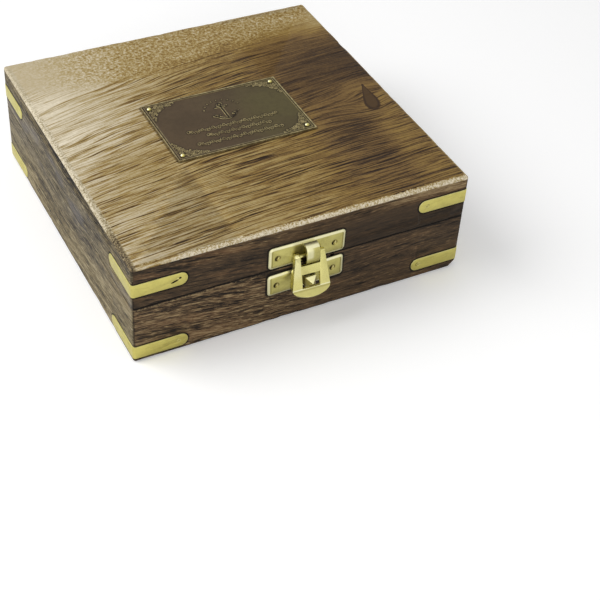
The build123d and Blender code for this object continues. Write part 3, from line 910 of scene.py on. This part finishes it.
def select_only(*pieces):
    """Selects these objects and nothing else, in object mode."""
    if bpy.context.object and bpy.context.object.mode != "OBJECT":
        bpy.ops.object.mode_set(mode="OBJECT")
    bpy.ops.object.select_all(action="DESELECT")
    for piece in pieces:
        piece.select_set(True)
    bpy.context.view_layer.objects.active = pieces[0]


def weld(piece, distance_mm, degrees):
    """Merges points nearer than a distance, and faces that meet at less than an angle."""
    select_only(piece)
    bpy.ops.object.mode_set(mode="EDIT")
    bpy.ops.mesh.select_all(action="SELECT")
    bpy.ops.mesh.remove_doubles(threshold=distance_mm * MM)
    bpy.ops.mesh.dissolve_limited(angle_limit=math.radians(degrees))
    bpy.ops.object.mode_set(mode="OBJECT")


def smooth(piece, degrees=40):
    """Shades a piece smooth, but for the edges that are sharper than an angle."""
    select_only(piece)
    bpy.ops.object.shade_smooth_by_angle(angle=math.radians(degrees))


def copy_of(node, name):
    """A new piece with the merged mesh of a CAD node."""
    piece = bpy.data.objects.new(name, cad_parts[node].data.copy())
    bpy.context.scene.collection.objects.link(piece)
    piece.data.materials.clear()
    weld(piece, 0.002, 0.5)
    return piece


def soften(piece, width, segments=2):
    """Rounds the sharp edges of a piece, and marks the new faces with the attribute rim."""
    select_only(piece)
    for name in ("flat_faces", "edge_faces"):
        piece.data.materials.append(bpy.data.materials.new(name))
    for face in piece.data.polygons:
        face.material_index = 0
    bevel = piece.modifiers.new("soft_edges", "BEVEL")
    bevel.width = width
    bevel.segments = segments
    bevel.limit_method = "ANGLE"
    bevel.angle_limit = math.radians(35)
    bevel.material = 1
    bpy.ops.object.modifier_apply(modifier=bevel.name)
    rim = piece.data.attributes.new("rim", "FLOAT", "FACE")
    for face in piece.data.polygons:
        rim.data[face.index].value = float(face.material_index)
        face.material_index = 0
    for made in list(piece.data.materials):
        bpy.data.materials.remove(made)
    smooth(piece)


def cut_rows(piece, axis, places):
    """Cuts a piece across at these places along an axis, leaving it whole."""
    select_only(piece)
    bpy.ops.object.mode_set(mode="EDIT")
    normal = [0.0, 0.0, 0.0]
    normal[axis] = 1.0
    for value in places:
        centre = [0.0, 0.0, 0.0]
        centre[axis] = value
        bpy.ops.mesh.select_all(action="SELECT")
        bpy.ops.mesh.bisect(plane_co=centre, plane_no=normal, threshold=0.01 * MM)
    bpy.ops.object.mode_set(mode="OBJECT")


def spaced(low, high, step):
    """Places from low to high, about a step apart and clear of both ends."""
    count = max(1, round((high - low) / step))
    return [low + (high - low) * (i + 0.5) / count for i in range(count)]


def finish_piece(piece, body, slot, material, *nodes):
    """Gives a new piece its material and its body, and hides the nodes that it stands for. Its slot
    is not used.
    """
    piece.data.materials.clear()
    piece.data.materials.append(material)
    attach(piece, body)
    if nodes:
        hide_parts(*nodes)


def soft_piece(node, body, slot, material, width, segments=2, reshape=None):
    """Makes a brass piece with the softened mesh of a CAD node, which it stands for."""
    piece = copy_of(node, f"soft_{node}")
    soften(piece, width, segments)
    if reshape:
        reshape(piece)
    finish_piece(piece, body, slot, material, node)


def dress_node(node, material):
    """Gives a CAD node that keeps its own mesh a better material."""
    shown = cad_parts[node]
    shown.data.materials.clear()
    shown.data.materials.append(material)


def wear_down(piece, sanded_top):
    """Moves the points near the outer edges inwards, unevenly, as handling wears them."""
    wear = bpy.context.scene.compass_box_wear
    reach = 2.2 * MM
    sanded_depth = 1.5 * MM
    for vertex in piece.data.vertices:
        p = vertex.co
        faces = (
            (HALF_X - abs(p.x), Vector((-math.copysign(1, p.x), 0, 0))),
            (HALF_Y - abs(p.y), Vector((0, -math.copysign(1, p.y), 0))),
            (TOP_Z - p.z, Vector((0, 0, -1))),
            (p.z, Vector((0, 0, 1))),
            (abs(p.z - SEAM_Z), Vector((0, 0, math.copysign(1, p.z - SEAM_Z)))),
        )
        near = sorted(faces, key=lambda face: face[0])[:2]
        from_edge = near[1][0]
        if from_edge < reach and near[0][0] < reach:
            rough = noise.noise(p * 90) * 0.6 + noise.noise(p * 320) * 0.4
            share = max(0.0, rough) * (1 - from_edge / reach)
            vertex.co = p + (near[0][1] + near[1][1]) * wear.nick_depth * share
        if sanded_top:
            inward = min(HALF_X - abs(p.x), HALF_Y - abs(p.y))
            slope = max(0.0, 1 - inward / wear.slope_width) ** 2
            lift = max(0.0, min(1.0, (p.z - TOP_Z + sanded_depth) / sanded_depth))
            uneven = 0.75 + 0.5 * noise.noise(p * 45)
            vertex.co.z -= wear.slope_depth * slope * lift * uneven


class CompassBoxWalls(bpy.types.Operator):
    """Make the eight worn walls of the base and the lid"""

    bl_idname = "compass_box.walls"
    bl_label = "Walls"

    def execute(self, context):
        woods = {side: wall_wood(side) for side in SIDES}

        # Rows of points beside each outer edge, so that the nicks have points to move
        near, far = 0.9 * MM, 2.3 * MM
        levels = [near, far] + [SEAM_Z + offset for offset in (-far, -near, near, far)]
        for half in HALVES:
            for side in SIDES:
                node = f"{half}_{side}_wall"
                wall = copy_of(node, f"worn_{node}")
                low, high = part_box(node)
                axis = 0 if side in FACING_Y else 1
                half_run = (HALF_X, HALF_Y)[axis]
                ends = [sign * (half_run - row) for sign in (-1, 1) for row in (near, far)]
                cut_rows(wall, axis, spaced(low[axis], high[axis], 2.4 * MM) + ends)
                cut_rows(wall, 2, [level for level in levels if low.z < level < high.z])
                wear_down(wall, False)
                smooth(wall, 35)
                finish_piece(wall, half, "side_wood", woods[side], node)
        return {"FINISHED"}


class CompassBoxBoards(bpy.types.Operator):
    """Make the sanded top board and dress the bottom board"""

    bl_idname = "compass_box.boards"
    bl_label = "Boards"

    def execute(self, context):
        board = copy_of("lid_top_board", "worn_top_board")
        rows = [0.7 * MM, 1.5 * MM, 2.5 * MM, 3.6 * MM, 5.0 * MM]
        for axis, half in ((0, HALF_X), (1, HALF_Y)):
            places = spaced(-half, half, 2.6 * MM)
            inner = [place for place in places if abs(place) < half - rows[-1]]
            edges = [sign * (half - row) for sign in (-1, 1) for row in rows]
            cut_rows(board, axis, inner + edges)
        wear_down(board, True)
        smooth(board, 35)
        finish_piece(board, "lid", "top_wood", lid_wood(), "lid_top_board")
        dress_node("base_bottom_board", bottom_wood())
        return {"FINISHED"}


class CompassBoxStraps(bpy.types.Operator):
    """Make the corner straps and the pins that hold them"""

    bl_idname = "compass_box.straps"
    bl_label = "Straps"

    def execute(self, context):
        metal = context.scene.compass_box_metal
        strap_brass = brass("strap_brass", metal.strap, 0.32, 0.16, strap_marks)
        for half in HALVES:
            for part in (*CORNERS, "nails"):
                width = 0.08 * MM if part == "nails" else 0.1 * MM
                soft_piece(f"{half}_strap_{part}", half, "strap_brass", strap_brass, width)
        return {"FINISHED"}


class CompassBoxLatch(bpy.types.Operator):
    """Make the latch's plates, hasp, stud and pin, and dress its nails"""

    bl_idname = "compass_box.latch"
    bl_label = "Latch"

    def execute(self, context):
        metal = context.scene.compass_box_metal
        pin_brass = brass("pin_brass", metal.latch, 0.22, 0.3)
        plate_brass = brass("plate_brass", metal.plate, 0.3, 0.25, plate_marks)
        hasp_brass = brass("hasp_brass", metal.latch, 0.2, 0.14, hasp_marks)
        stud_brass = brass("stud_brass", metal.latch, 0.2, 0.1, stud_marks)
        nail_brass = brass("latch_nail_brass", metal.nail, 0.24, 0.2, nail_marks)

        # Each piece's node, body and brass, its share of the softness, and what reshapes it
        pieces = (
            ("latch_upper_plate", "lid", plate_brass, 1.0, None),
            ("latch_lower_plate", "base", plate_brass, 1.0, None),
            ("latch_hasp", "hasp", hasp_brass, 1.2, self.round_lip),
            ("latch_stud", "base", stud_brass, 0.5, None),
            ("latch_pin", "lid", pin_brass, 1.0, None),
        )
        for node, body, material, share, reshape in pieces:
            width = metal.softness * share
            soft_piece(node, body, "latch_brass", material, width, 3, reshape)
        for node in ("latch_upper_nails", "latch_lower_nails"):
            dress_node(node, nail_brass)
        return {"FINISHED"}

    def round_lip(self, hasp):
        """Turns the straight rim of the hasp's bent lip into one even curve."""
        low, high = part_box("latch_hasp")
        cut_rows(hasp, 0, spaced(low.x, high.x, 0.45 * MM))
        low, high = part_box("latch_pin")
        lean, twist, bend = map(math.radians, (HASP_LEAN, HASP_TWIST, LIP_BEND))

        # The crease, and the directions along the lip from it and behind the lip
        right = Vector((math.cos(twist), -math.sin(twist), 0))
        level = math.cos(lean)
        out = Vector((-math.sin(twist) * level, -math.cos(twist) * level, math.sin(lean)))
        down = right.cross(out)
        crease = (low + high) / 2 + out * 1.5 * MM + down * 16.5 * MM
        along_lip = out * math.sin(bend) + down * math.cos(bend)
        behind = down * math.sin(bend) - out * math.cos(bend)

        # In millimetres: the rim's radius and how far the crease is from its centre, how long and
        # how wide by half the new lip is, and the old one's length where its rim was cut straight
        rim_radius, crease_from_centre = 13.62, 9.95
        lip_length, lip_half_width, straight_length = 3.85, 9.3, 3.7
        for vertex in hasp.data.vertices:
            offset = (vertex.co - crease) / MM
            u, reach, depth = offset.dot(right), offset.dot(along_lip), offset.dot(behind)
            if offset.dot(down) <= 0 or reach <= 0.05 or abs(u) > 9.25:
                continue
            drop = math.sqrt(rim_radius**2 - u * u) - crease_from_centre
            reach_now = (drop - depth * math.sin(bend)) / math.cos(bend)
            reach_now = min(straight_length, reach_now)
            if reach_now > 0.3:
                reach_new = lip_length * (1 - (u / lip_half_width) ** 2) ** 0.62
                vertex.co += along_lip * (reach_new - reach_now) * min(1.0, reach / reach_now) * MM
        weld(hasp, 0.01, 0.8)
        smooth(hasp)


class CompassBoxHinges(bpy.types.Operator):
    """Make the hinge leaves and pins, and dress the screws"""

    bl_idname = "compass_box.hinges"
    bl_label = "Hinges"

    def execute(self, context):
        metal = context.scene.compass_box_metal
        hinge_brass = brass("hinge_brass", metal.strap, 0.34, 0.6)
        for hand in ("left", "right"):
            for part, body in (("base_leaf", "base"), ("lid_leaf", "lid"), ("pin", "base")):
                node = f"{hand}_hinge_{part}"
                soft_piece(node, body, "hinge_brass", hinge_brass, 0.12 * MM)
        for half in HALVES:
            dress_node(f"hinge_{half}_screws", hinge_brass)
        return {"FINISHED"}


def beads(lines, radius):
    """Raised lines of round section, each along its points in metres, as one mesh."""
    curve = bpy.data.curves.new("plaque_lines", "CURVE")
    curve.dimensions = "3D"
    curve.bevel_depth = radius
    curve.bevel_resolution = 1
    curve.use_fill_caps = True
    for points in lines:
        spline = curve.splines.new("POLY")
        spline.points.add(len(points) - 1)
        for target, point in zip(spline.points, points):
            target.co = (*point, 1.0)
    drawn = bpy.data.objects.new("plaque_lines", curve)
    bpy.context.scene.collection.objects.link(drawn)
    select_only(drawn)
    bpy.ops.object.convert(target="MESH")
    return bpy.context.object


def spiral(centre, start_radius, end_radius, start_angle, turns, count):
    """Points of a flat spiral in millimetres, from its outside in, from an angle in degrees."""
    points = []
    for i in range(count):
        t = i / (count - 1)
        radius = start_radius + (end_radius - start_radius) * t
        angle = math.radians(start_angle) + turns * 2 * math.pi * t
        points.append((centre[0] + radius * math.cos(angle), centre[1] + radius * math.sin(angle)))
    return points


def arc(centre, radius, start, end, count):
    """Points of a circular arc in millimetres, with its angles in degrees."""
    angles = [math.radians(start + (end - start) * i / (count - 1)) for i in range(count)]
    return [(centre[0] + radius * math.cos(a), centre[1] + radius * math.sin(a)) for a in angles]


def corner_lines(half_width, half_depth, chance):
    """Small curls that fill each corner of the plaque up to a large oval, round its nail."""
    lines = []
    margin = 2.3
    for side_x in (-1, 1):
        for side_y in (-1, 1):
            for row in range(11):
                for column in range(13):
                    u = margin + (column + 0.5 * (row % 2) + 0.3 * chance.random()) * 1.2
                    v = margin + (row + 0.3 * chance.random()) * 1.1
                    in_oval = ((18.5 - u) / 15.6) ** 2 + ((15.0 - v) / 12.0) ** 2 < 1
                    by_nail = math.hypot(u - NAIL_INSET, v - NAIL_INSET) < 2.0
                    if in_oval or by_nail or u > 16.5 or v > 13.5:
                        continue
                    start = 360 * chance.random()
                    turns = (0.8 + 0.5 * chance.random()) * (1 if chance.random() < 0.5 else -1)
                    radius = 0.55 + 0.25 * chance.random()
                    curl = spiral((u, v), radius, 0.16, start, turns, 11)
                    lines.append(
                        [(side_x * (half_width - u), side_y * (half_depth - v)) for u, v in curl]
                    )
    return lines


def anchor_lines():
    """A plain anchor, 13 mm tall: ring, stock, shank, arms and flukes."""
    return [
        arc((0.4, 11.2), 0.9, -90, 270, 16),
        [(-2.4, 9.3), (3.2, 9.3)],
        [(0.4, 10.3), (0.4, -0.6)],
        arc((0.4, 4.6), 5.2, 210, 330, 22),
        [(-5.7, 3.5), (-4.2, 2.0), (-2.9, 2.8)],
        [(6.5, 3.5), (5.0, 2.0), (3.7, 2.8)],
    ]


def flourish_lines(chance):
    """Three running vines under the anchor, and an arc of short strokes above it."""
    lines = []
    for level, start, end in ((-5.2, -21.0, 22.5), (-10.2, -13.0, 16.5), (-15.4, -20.0, 20.5)):
        count = round((end - start) / 2.7)
        stem = []
        for i in range(count + 1):
            x = start + (end - start) * i / count
            side = 1 if i % 2 == 0 else -1
            stem.append((x, level - side * 0.4))
            size = 1.0 + 0.25 * chance.random()
            turns = side * (1.0 + 0.15 * chance.random())
            lines.append(spiral((x, level + side * 0.6), size, 0.2, -90 * side, turns, 14))
            if i < count:
                lines.append([(x + 1.1, level), (x + 1.5, level - side * 1.3)])
        lines.append(stem)
        lines.append(spiral((start - 1.2, level + 0.5), 1.5, 0.25, -60, 1.4, 18))
    for i in range(9):
        angle = math.radians(158 - i * 17)
        across, up = math.cos(angle), math.sin(angle)
        lines.append([(0.4 + across * radius, 5.6 + up * radius) for radius in (9.0, 9.9)])
    return lines


class CompassBoxPlaque(bpy.types.Operator):
    """Make the plaque, with its rim, corner scrolls, anchor and flourishes, and dress its nails"""

    bl_idname = "compass_box.plaque"
    bl_label = "Plaque"

    def execute(self, context):
        low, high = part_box("plaque")
        plate = self.make_plate(low, high)
        drawn = self.raised_lines(low, high)
        self.mark(plate, low, high, drawn)
        select_only(plate, *drawn)
        bpy.ops.object.join()
        smooth(plate)
        finish_piece(plate, "lid", "plaque_bronze", plaque_metal(), "plaque")

        nail_colour = context.scene.compass_box_metal.nail
        dress_node("plaque_nails", brass("nail_brass", nail_colour, 0.24, 0.25, plaque_nail_marks))
        return {"FINISHED"}

    def make_plate(self, low, high):
        """The plate: a box with rounded corners, whose top is inset to a double rim and a field."""
        bpy.ops.object.select_all(action="DESELECT")
        bpy.ops.mesh.primitive_cube_add(size=1, location=(low + high) / 2)
        plate = bpy.context.object
        plate.name = "plaque_plate"
        plate.scale = high - low
        bpy.ops.object.transform_apply(location=True, rotation=True, scale=True)
        bpy.ops.object.mode_set(mode="EDIT")
        shape = bmesh.from_edit_mesh(plate.data)
        for edge in shape.edges:
            edge.select = abs(edge.verts[0].co.z - edge.verts[1].co.z) > 0.1 * MM
        bmesh.update_edit_mesh(plate.data)
        bpy.ops.mesh.bevel(offset=PLAQUE_CORNER * MM, segments=3, affect="EDGES")
        self.select_top(plate, high.z)

        # How far in each step goes, and how far up
        groove = ((0.12, 0.0), (0.4, 0.0), (0.15, -0.16), (0.4, 0.0), (0.15, 0.16))
        for inset, rise in (*groove, (0.35, 0.0), (0.2, -FIELD_DEPTH)):
            bpy.ops.mesh.inset(thickness=inset * MM, depth=0)
            if rise:
                bpy.ops.transform.translate(value=(0, 0, rise * MM))
        bpy.ops.object.mode_set(mode="OBJECT")
        for axis in (0, 1):
            cut_rows(plate, axis, spaced(low[axis] + 2.0 * MM, high[axis] - 2.0 * MM, 0.6 * MM))
        return plate

    def raised_lines(self, low, high):
        """The raised lines, as meshes and their shine, which is below 0 where they're dark."""
        centre = (low + high) / 2
        field_z = high.z - FIELD_DEPTH * MM
        chance = random.Random(7)

        # The anchor is dark, between two painted highlights along its edges.
        anchor = anchor_lines()
        sides = ((0.62, 0.4), (-0.62, -0.4))
        lit = [[(u + du, v + dv) for u, v in line] for line in anchor for du, dv in sides]
        half = (high - low) / (2 * MM)

        # Lines, their radius, how far they are above the field in millimetres, and their shine
        groups = (
            (corner_lines(half.x, half.y, chance), 0.17, -0.02, 0.9),
            (flourish_lines(chance), 0.18, -0.02, 0.8),
            (lit, 0.24, -0.08, 1.0),
            (anchor, 0.62, -0.4, -1.0),
        )
        drawn = {}
        for lines, radius, sunk, shine in groups:
            level = field_z + sunk * MM
            placed = [
                [(centre.x + u * MM, centre.y + v * MM, level) for u, v in line] for line in lines
            ]
            drawn[beads(placed, radius * MM)] = shine
        return drawn

    def mark(self, plate, low, high, drawn):
        """Gives the plate and its lines their attributes: halo is dirt and painted shade, line is
        rubbed metal and painted highlight.
        """
        tree = KDTree(sum(len(piece.data.vertices) for piece in drawn))
        index = 0
        for piece, shine in drawn.items():
            values = piece.data.attributes.new("line" if shine > 0 else "halo", "FLOAT", "POINT")
            for vertex in piece.data.vertices:
                values.data[vertex.index].value = abs(shine)
                tree.insert(vertex.co, index)
                index += 1
        tree.balance()

        centre = (low + high) / 2
        half = (high - low) / 2
        halo = plate.data.attributes.new("halo", "FLOAT", "POINT")
        raised = plate.data.attributes.new("line", "FLOAT", "POINT")
        for vertex in plate.data.vertices:
            in_x = (half.x - abs(vertex.co.x - centre.x)) / MM
            in_y = (half.y - abs(vertex.co.y - centre.y)) / MM
            from_line = tree.find(vertex.co)[2] / MM
            from_nail = math.hypot(in_x - NAIL_INSET, in_y - NAIL_INSET)
            dark = max(0.0, 1 - from_line / 0.8, min(0.9, 1.9 - from_nail / 1.1))
            bright = 0.0

            # The rim is bright outside its groove, and less so inside it.
            inward = min(in_x, in_y)
            if inward < 0.6:
                dark, bright = 0.0, 1.0
            elif inward < 1.12:
                dark, bright = 1.0, 0.0
            elif inward < 1.6:
                dark, bright = 0.0, 0.55
            halo.data[vertex.index].value = dark
            raised.data[vertex.index].value = bright

    def select_top(self, plate, level):
        """Selects the faces at a level, in edit mode."""
        bpy.ops.mesh.select_all(action="DESELECT")
        bpy.ops.mesh.select_mode(type="FACE")
        shape = bmesh.from_edit_mesh(plate.data)
        for face in shape.faces:
            if abs(face.calc_center_median().z - level) < 0.01 * MM and face.normal.z > 0.9:
                face.select = True
        bmesh.update_edit_mesh(plate.data)


class CompassBoxLinings(bpy.types.Operator):
    """Make the felt sheets in the base and under the lid"""

    bl_idname = "compass_box.linings"
    bl_label = "Linings"

    def execute(self, context):
        settings = context.scene.compass_box_felt
        material = felt()
        cases = (
            ("base_lining", "base", 1, "laid", "base_bottom_board"),
            ("lid_lining", "lid", -1, "stretched", "worn_top_board"),
        )
        for node, body, facing, held, carrier in cases:
            low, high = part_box(node)
            size = high - low
            middle = (low + high) / 2
            bpy.ops.object.select_all(action="DESELECT")
            bpy.ops.mesh.primitive_grid_add(x_subdivisions=72, y_subdivisions=72, size=1)
            sheet = context.object
            sheet.name = f"felt_{node}"
            sheet.scale = (size.x, size.y, 1)
            bpy.ops.object.transform_apply(location=False, rotation=False, scale=True)
            back, face = (low.z, high.z) if facing == 1 else (high.z, low.z)
            for vertex in sheet.data.vertices:
                p = vertex.co
                fibre = noise.noise(Vector((p.x * 60, p.y * 60, facing)))
                rise = settings.nap * (0.5 + 0.5 * fibre)
                vertex.co = (p.x + middle.x, p.y + middle.y, face - facing * rise)
            if facing == -1:
                select_only(sheet)
                bpy.ops.object.mode_set(mode="EDIT")
                bpy.ops.mesh.select_all(action="SELECT")
                bpy.ops.mesh.flip_normals()
                bpy.ops.object.mode_set(mode="OBJECT")
            select_only(sheet)
            solid = sheet.modifiers.new("felt_thickness", "SOLIDIFY")
            solid.thickness = size.z - settings.nap
            solid.offset = -1
            bpy.ops.object.modifier_apply(modifier=solid.name)
            for vertex in sheet.data.vertices:
                if (vertex.co.z - back) * facing < 0:
                    vertex.co.z = back
            smooth(sheet)
            finish_piece(sheet, body, "felt", material, node)
        return {"FINISHED"}


class CompassBoxSetStage(bpy.types.Operator):
    """Make the floor, the lamps, the sky and the camera"""

    bl_idname = "compass_box.stage"
    bl_label = "Stage"

    def execute(self, context):
        settings = context.scene.compass_box_stage
        bpy.ops.object.select_all(action="DESELECT")
        bpy.ops.mesh.primitive_plane_add(size=6, location=(0, 0, -0.05 * MM))
        floor = context.object
        floor.name = "floor"
        material, shader = new_material("floor")[:2]
        seen = ray(material.node_tree, "Camera")
        feed(
            shader,
            Base_Color=(*settings.floor, 1.0),
            Roughness=0.9,
            Emission_Color=blend(seen, (0.0, 0.0, 0.0), (1.0, 1.0, 1.0)),
            Emission_Strength=0.14,
        )
        floor.data.materials.append(material)

        lamps = (
            ("key_lamp", (-0.75, 0.3, 0.85), (0, 0, 0), 0.9, settings.key_power),
            ("fill_lamp", (-0.3, -1.1, 0.5), (0, 0, 0.02), 0.5, settings.fill_power),
        )
        for name, spot, target, size, power in lamps:
            bpy.ops.object.light_add(type="AREA", location=spot)
            lamp = context.object
            lamp.name = name
            lamp.data.shape = "DISK"
            lamp.data.size = size
            lamp.data.energy = power
            aim = Vector(target) - Vector(spot)
            lamp.rotation_euler = aim.to_track_quat("-Z", "Y").to_euler()

        world = bpy.data.worlds.new("sky")
        world.use_nodes = True
        context.scene.world = world
        tree = world.node_tree
        background = tree.nodes["Background"]
        seen = ray(tree, "Camera").most(ray(tree, "Glossy")).most(ray(tree, "Transmission"))
        strength = seen * (1.0 - settings.sky) + settings.sky
        tree.links.new(strength.socket, background.inputs["Strength"])
        background.inputs["Color"].default_value = (1, 1, 1, 1)

        # The photograph's camera: where it stands, how it is turned and its focal length in pixels
        azimuth, elevation, roll = (math.radians(angle) for angle in (-29.96, 41.88, 4.27))
        focal_pixels, image_pixels, sensor_width = 1350.6, 600, 36.0
        spot = Vector((-0.2298, -0.4795, 0.4173))
        level = Vector((math.cos(azimuth), math.sin(azimuth), 0))
        away = Vector((math.sin(azimuth), -math.cos(azimuth), 0))
        back = away * math.cos(elevation) + Vector((0, 0, math.sin(elevation)))
        upright = back.cross(level)
        right = level * math.cos(roll) + upright * math.sin(roll)
        up = upright * math.cos(roll) - level * math.sin(roll)
        bpy.ops.object.camera_add()
        camera = context.object
        camera.name = "camera"
        turned = Matrix((right, up, back)).transposed().to_4x4()
        camera.matrix_world = Matrix.Translation(spot) @ turned
        camera.data.sensor_width = sensor_width
        camera.data.lens = sensor_width * focal_pixels / image_pixels
        camera.data.clip_start = 0.01
        context.scene.camera = camera
        context.scene.view_settings.view_transform = "Standard"
        return {"FINISHED"}


PIECE_OPERATORS = (
    CompassBoxSetStage,
    CompassBoxWalls,
    CompassBoxBoards,
    CompassBoxStraps,
    CompassBoxLatch,
    CompassBoxHinges,
    CompassBoxPlaque,
    CompassBoxLinings,
)


class CompassBoxPanel(bpy.types.Panel):
    """Lists the box's pieces and settings"""

    bl_idname = "VIEW3D_PT_compass_box"
    bl_label = "Compass Box"
    bl_space_type = "VIEW_3D"
    bl_region_type = "UI"
    bl_category = "Compass Box"

    def draw(self, context):
        for operator in PIECE_OPERATORS:
            self.layout.operator(operator.bl_idname)
        for name in SETTINGS:
            settings = getattr(context.scene, name)
            box = self.layout.box()
            for key in settings.__annotations__:
                box.prop(settings, key)


SETTINGS = {
    "compass_box_wood": CompassBoxWood,
    "compass_box_wear": CompassBoxWear,
    "compass_box_metal": CompassBoxMetal,
    "compass_box_felt": CompassBoxFelt,
    "compass_box_stage": CompassBoxStage,
}
CLASSES = (*SETTINGS.values(), *PIECE_OPERATORS, CompassBoxPanel)


def register():
    for made in CLASSES:
        bpy.utils.register_class(made)
    for name, group in SETTINGS.items():
        setattr(bpy.types.Scene, name, bpy.props.PointerProperty(type=group))


def unregister():
    for name in SETTINGS:
        delattr(bpy.types.Scene, name)
    for made in reversed(CLASSES):
        bpy.utils.unregister_class(made)


def main():
    register()
    bpy.ops.compass_box.stage()
    bpy.ops.compass_box.boards()
    bpy.ops.compass_box.walls()
    bpy.ops.compass_box.straps()
    bpy.ops.compass_box.latch()
    bpy.ops.compass_box.hinges()
    bpy.ops.compass_box.plaque()
    bpy.ops.compass_box.linings()


if __name__ == "__main__":
    main()
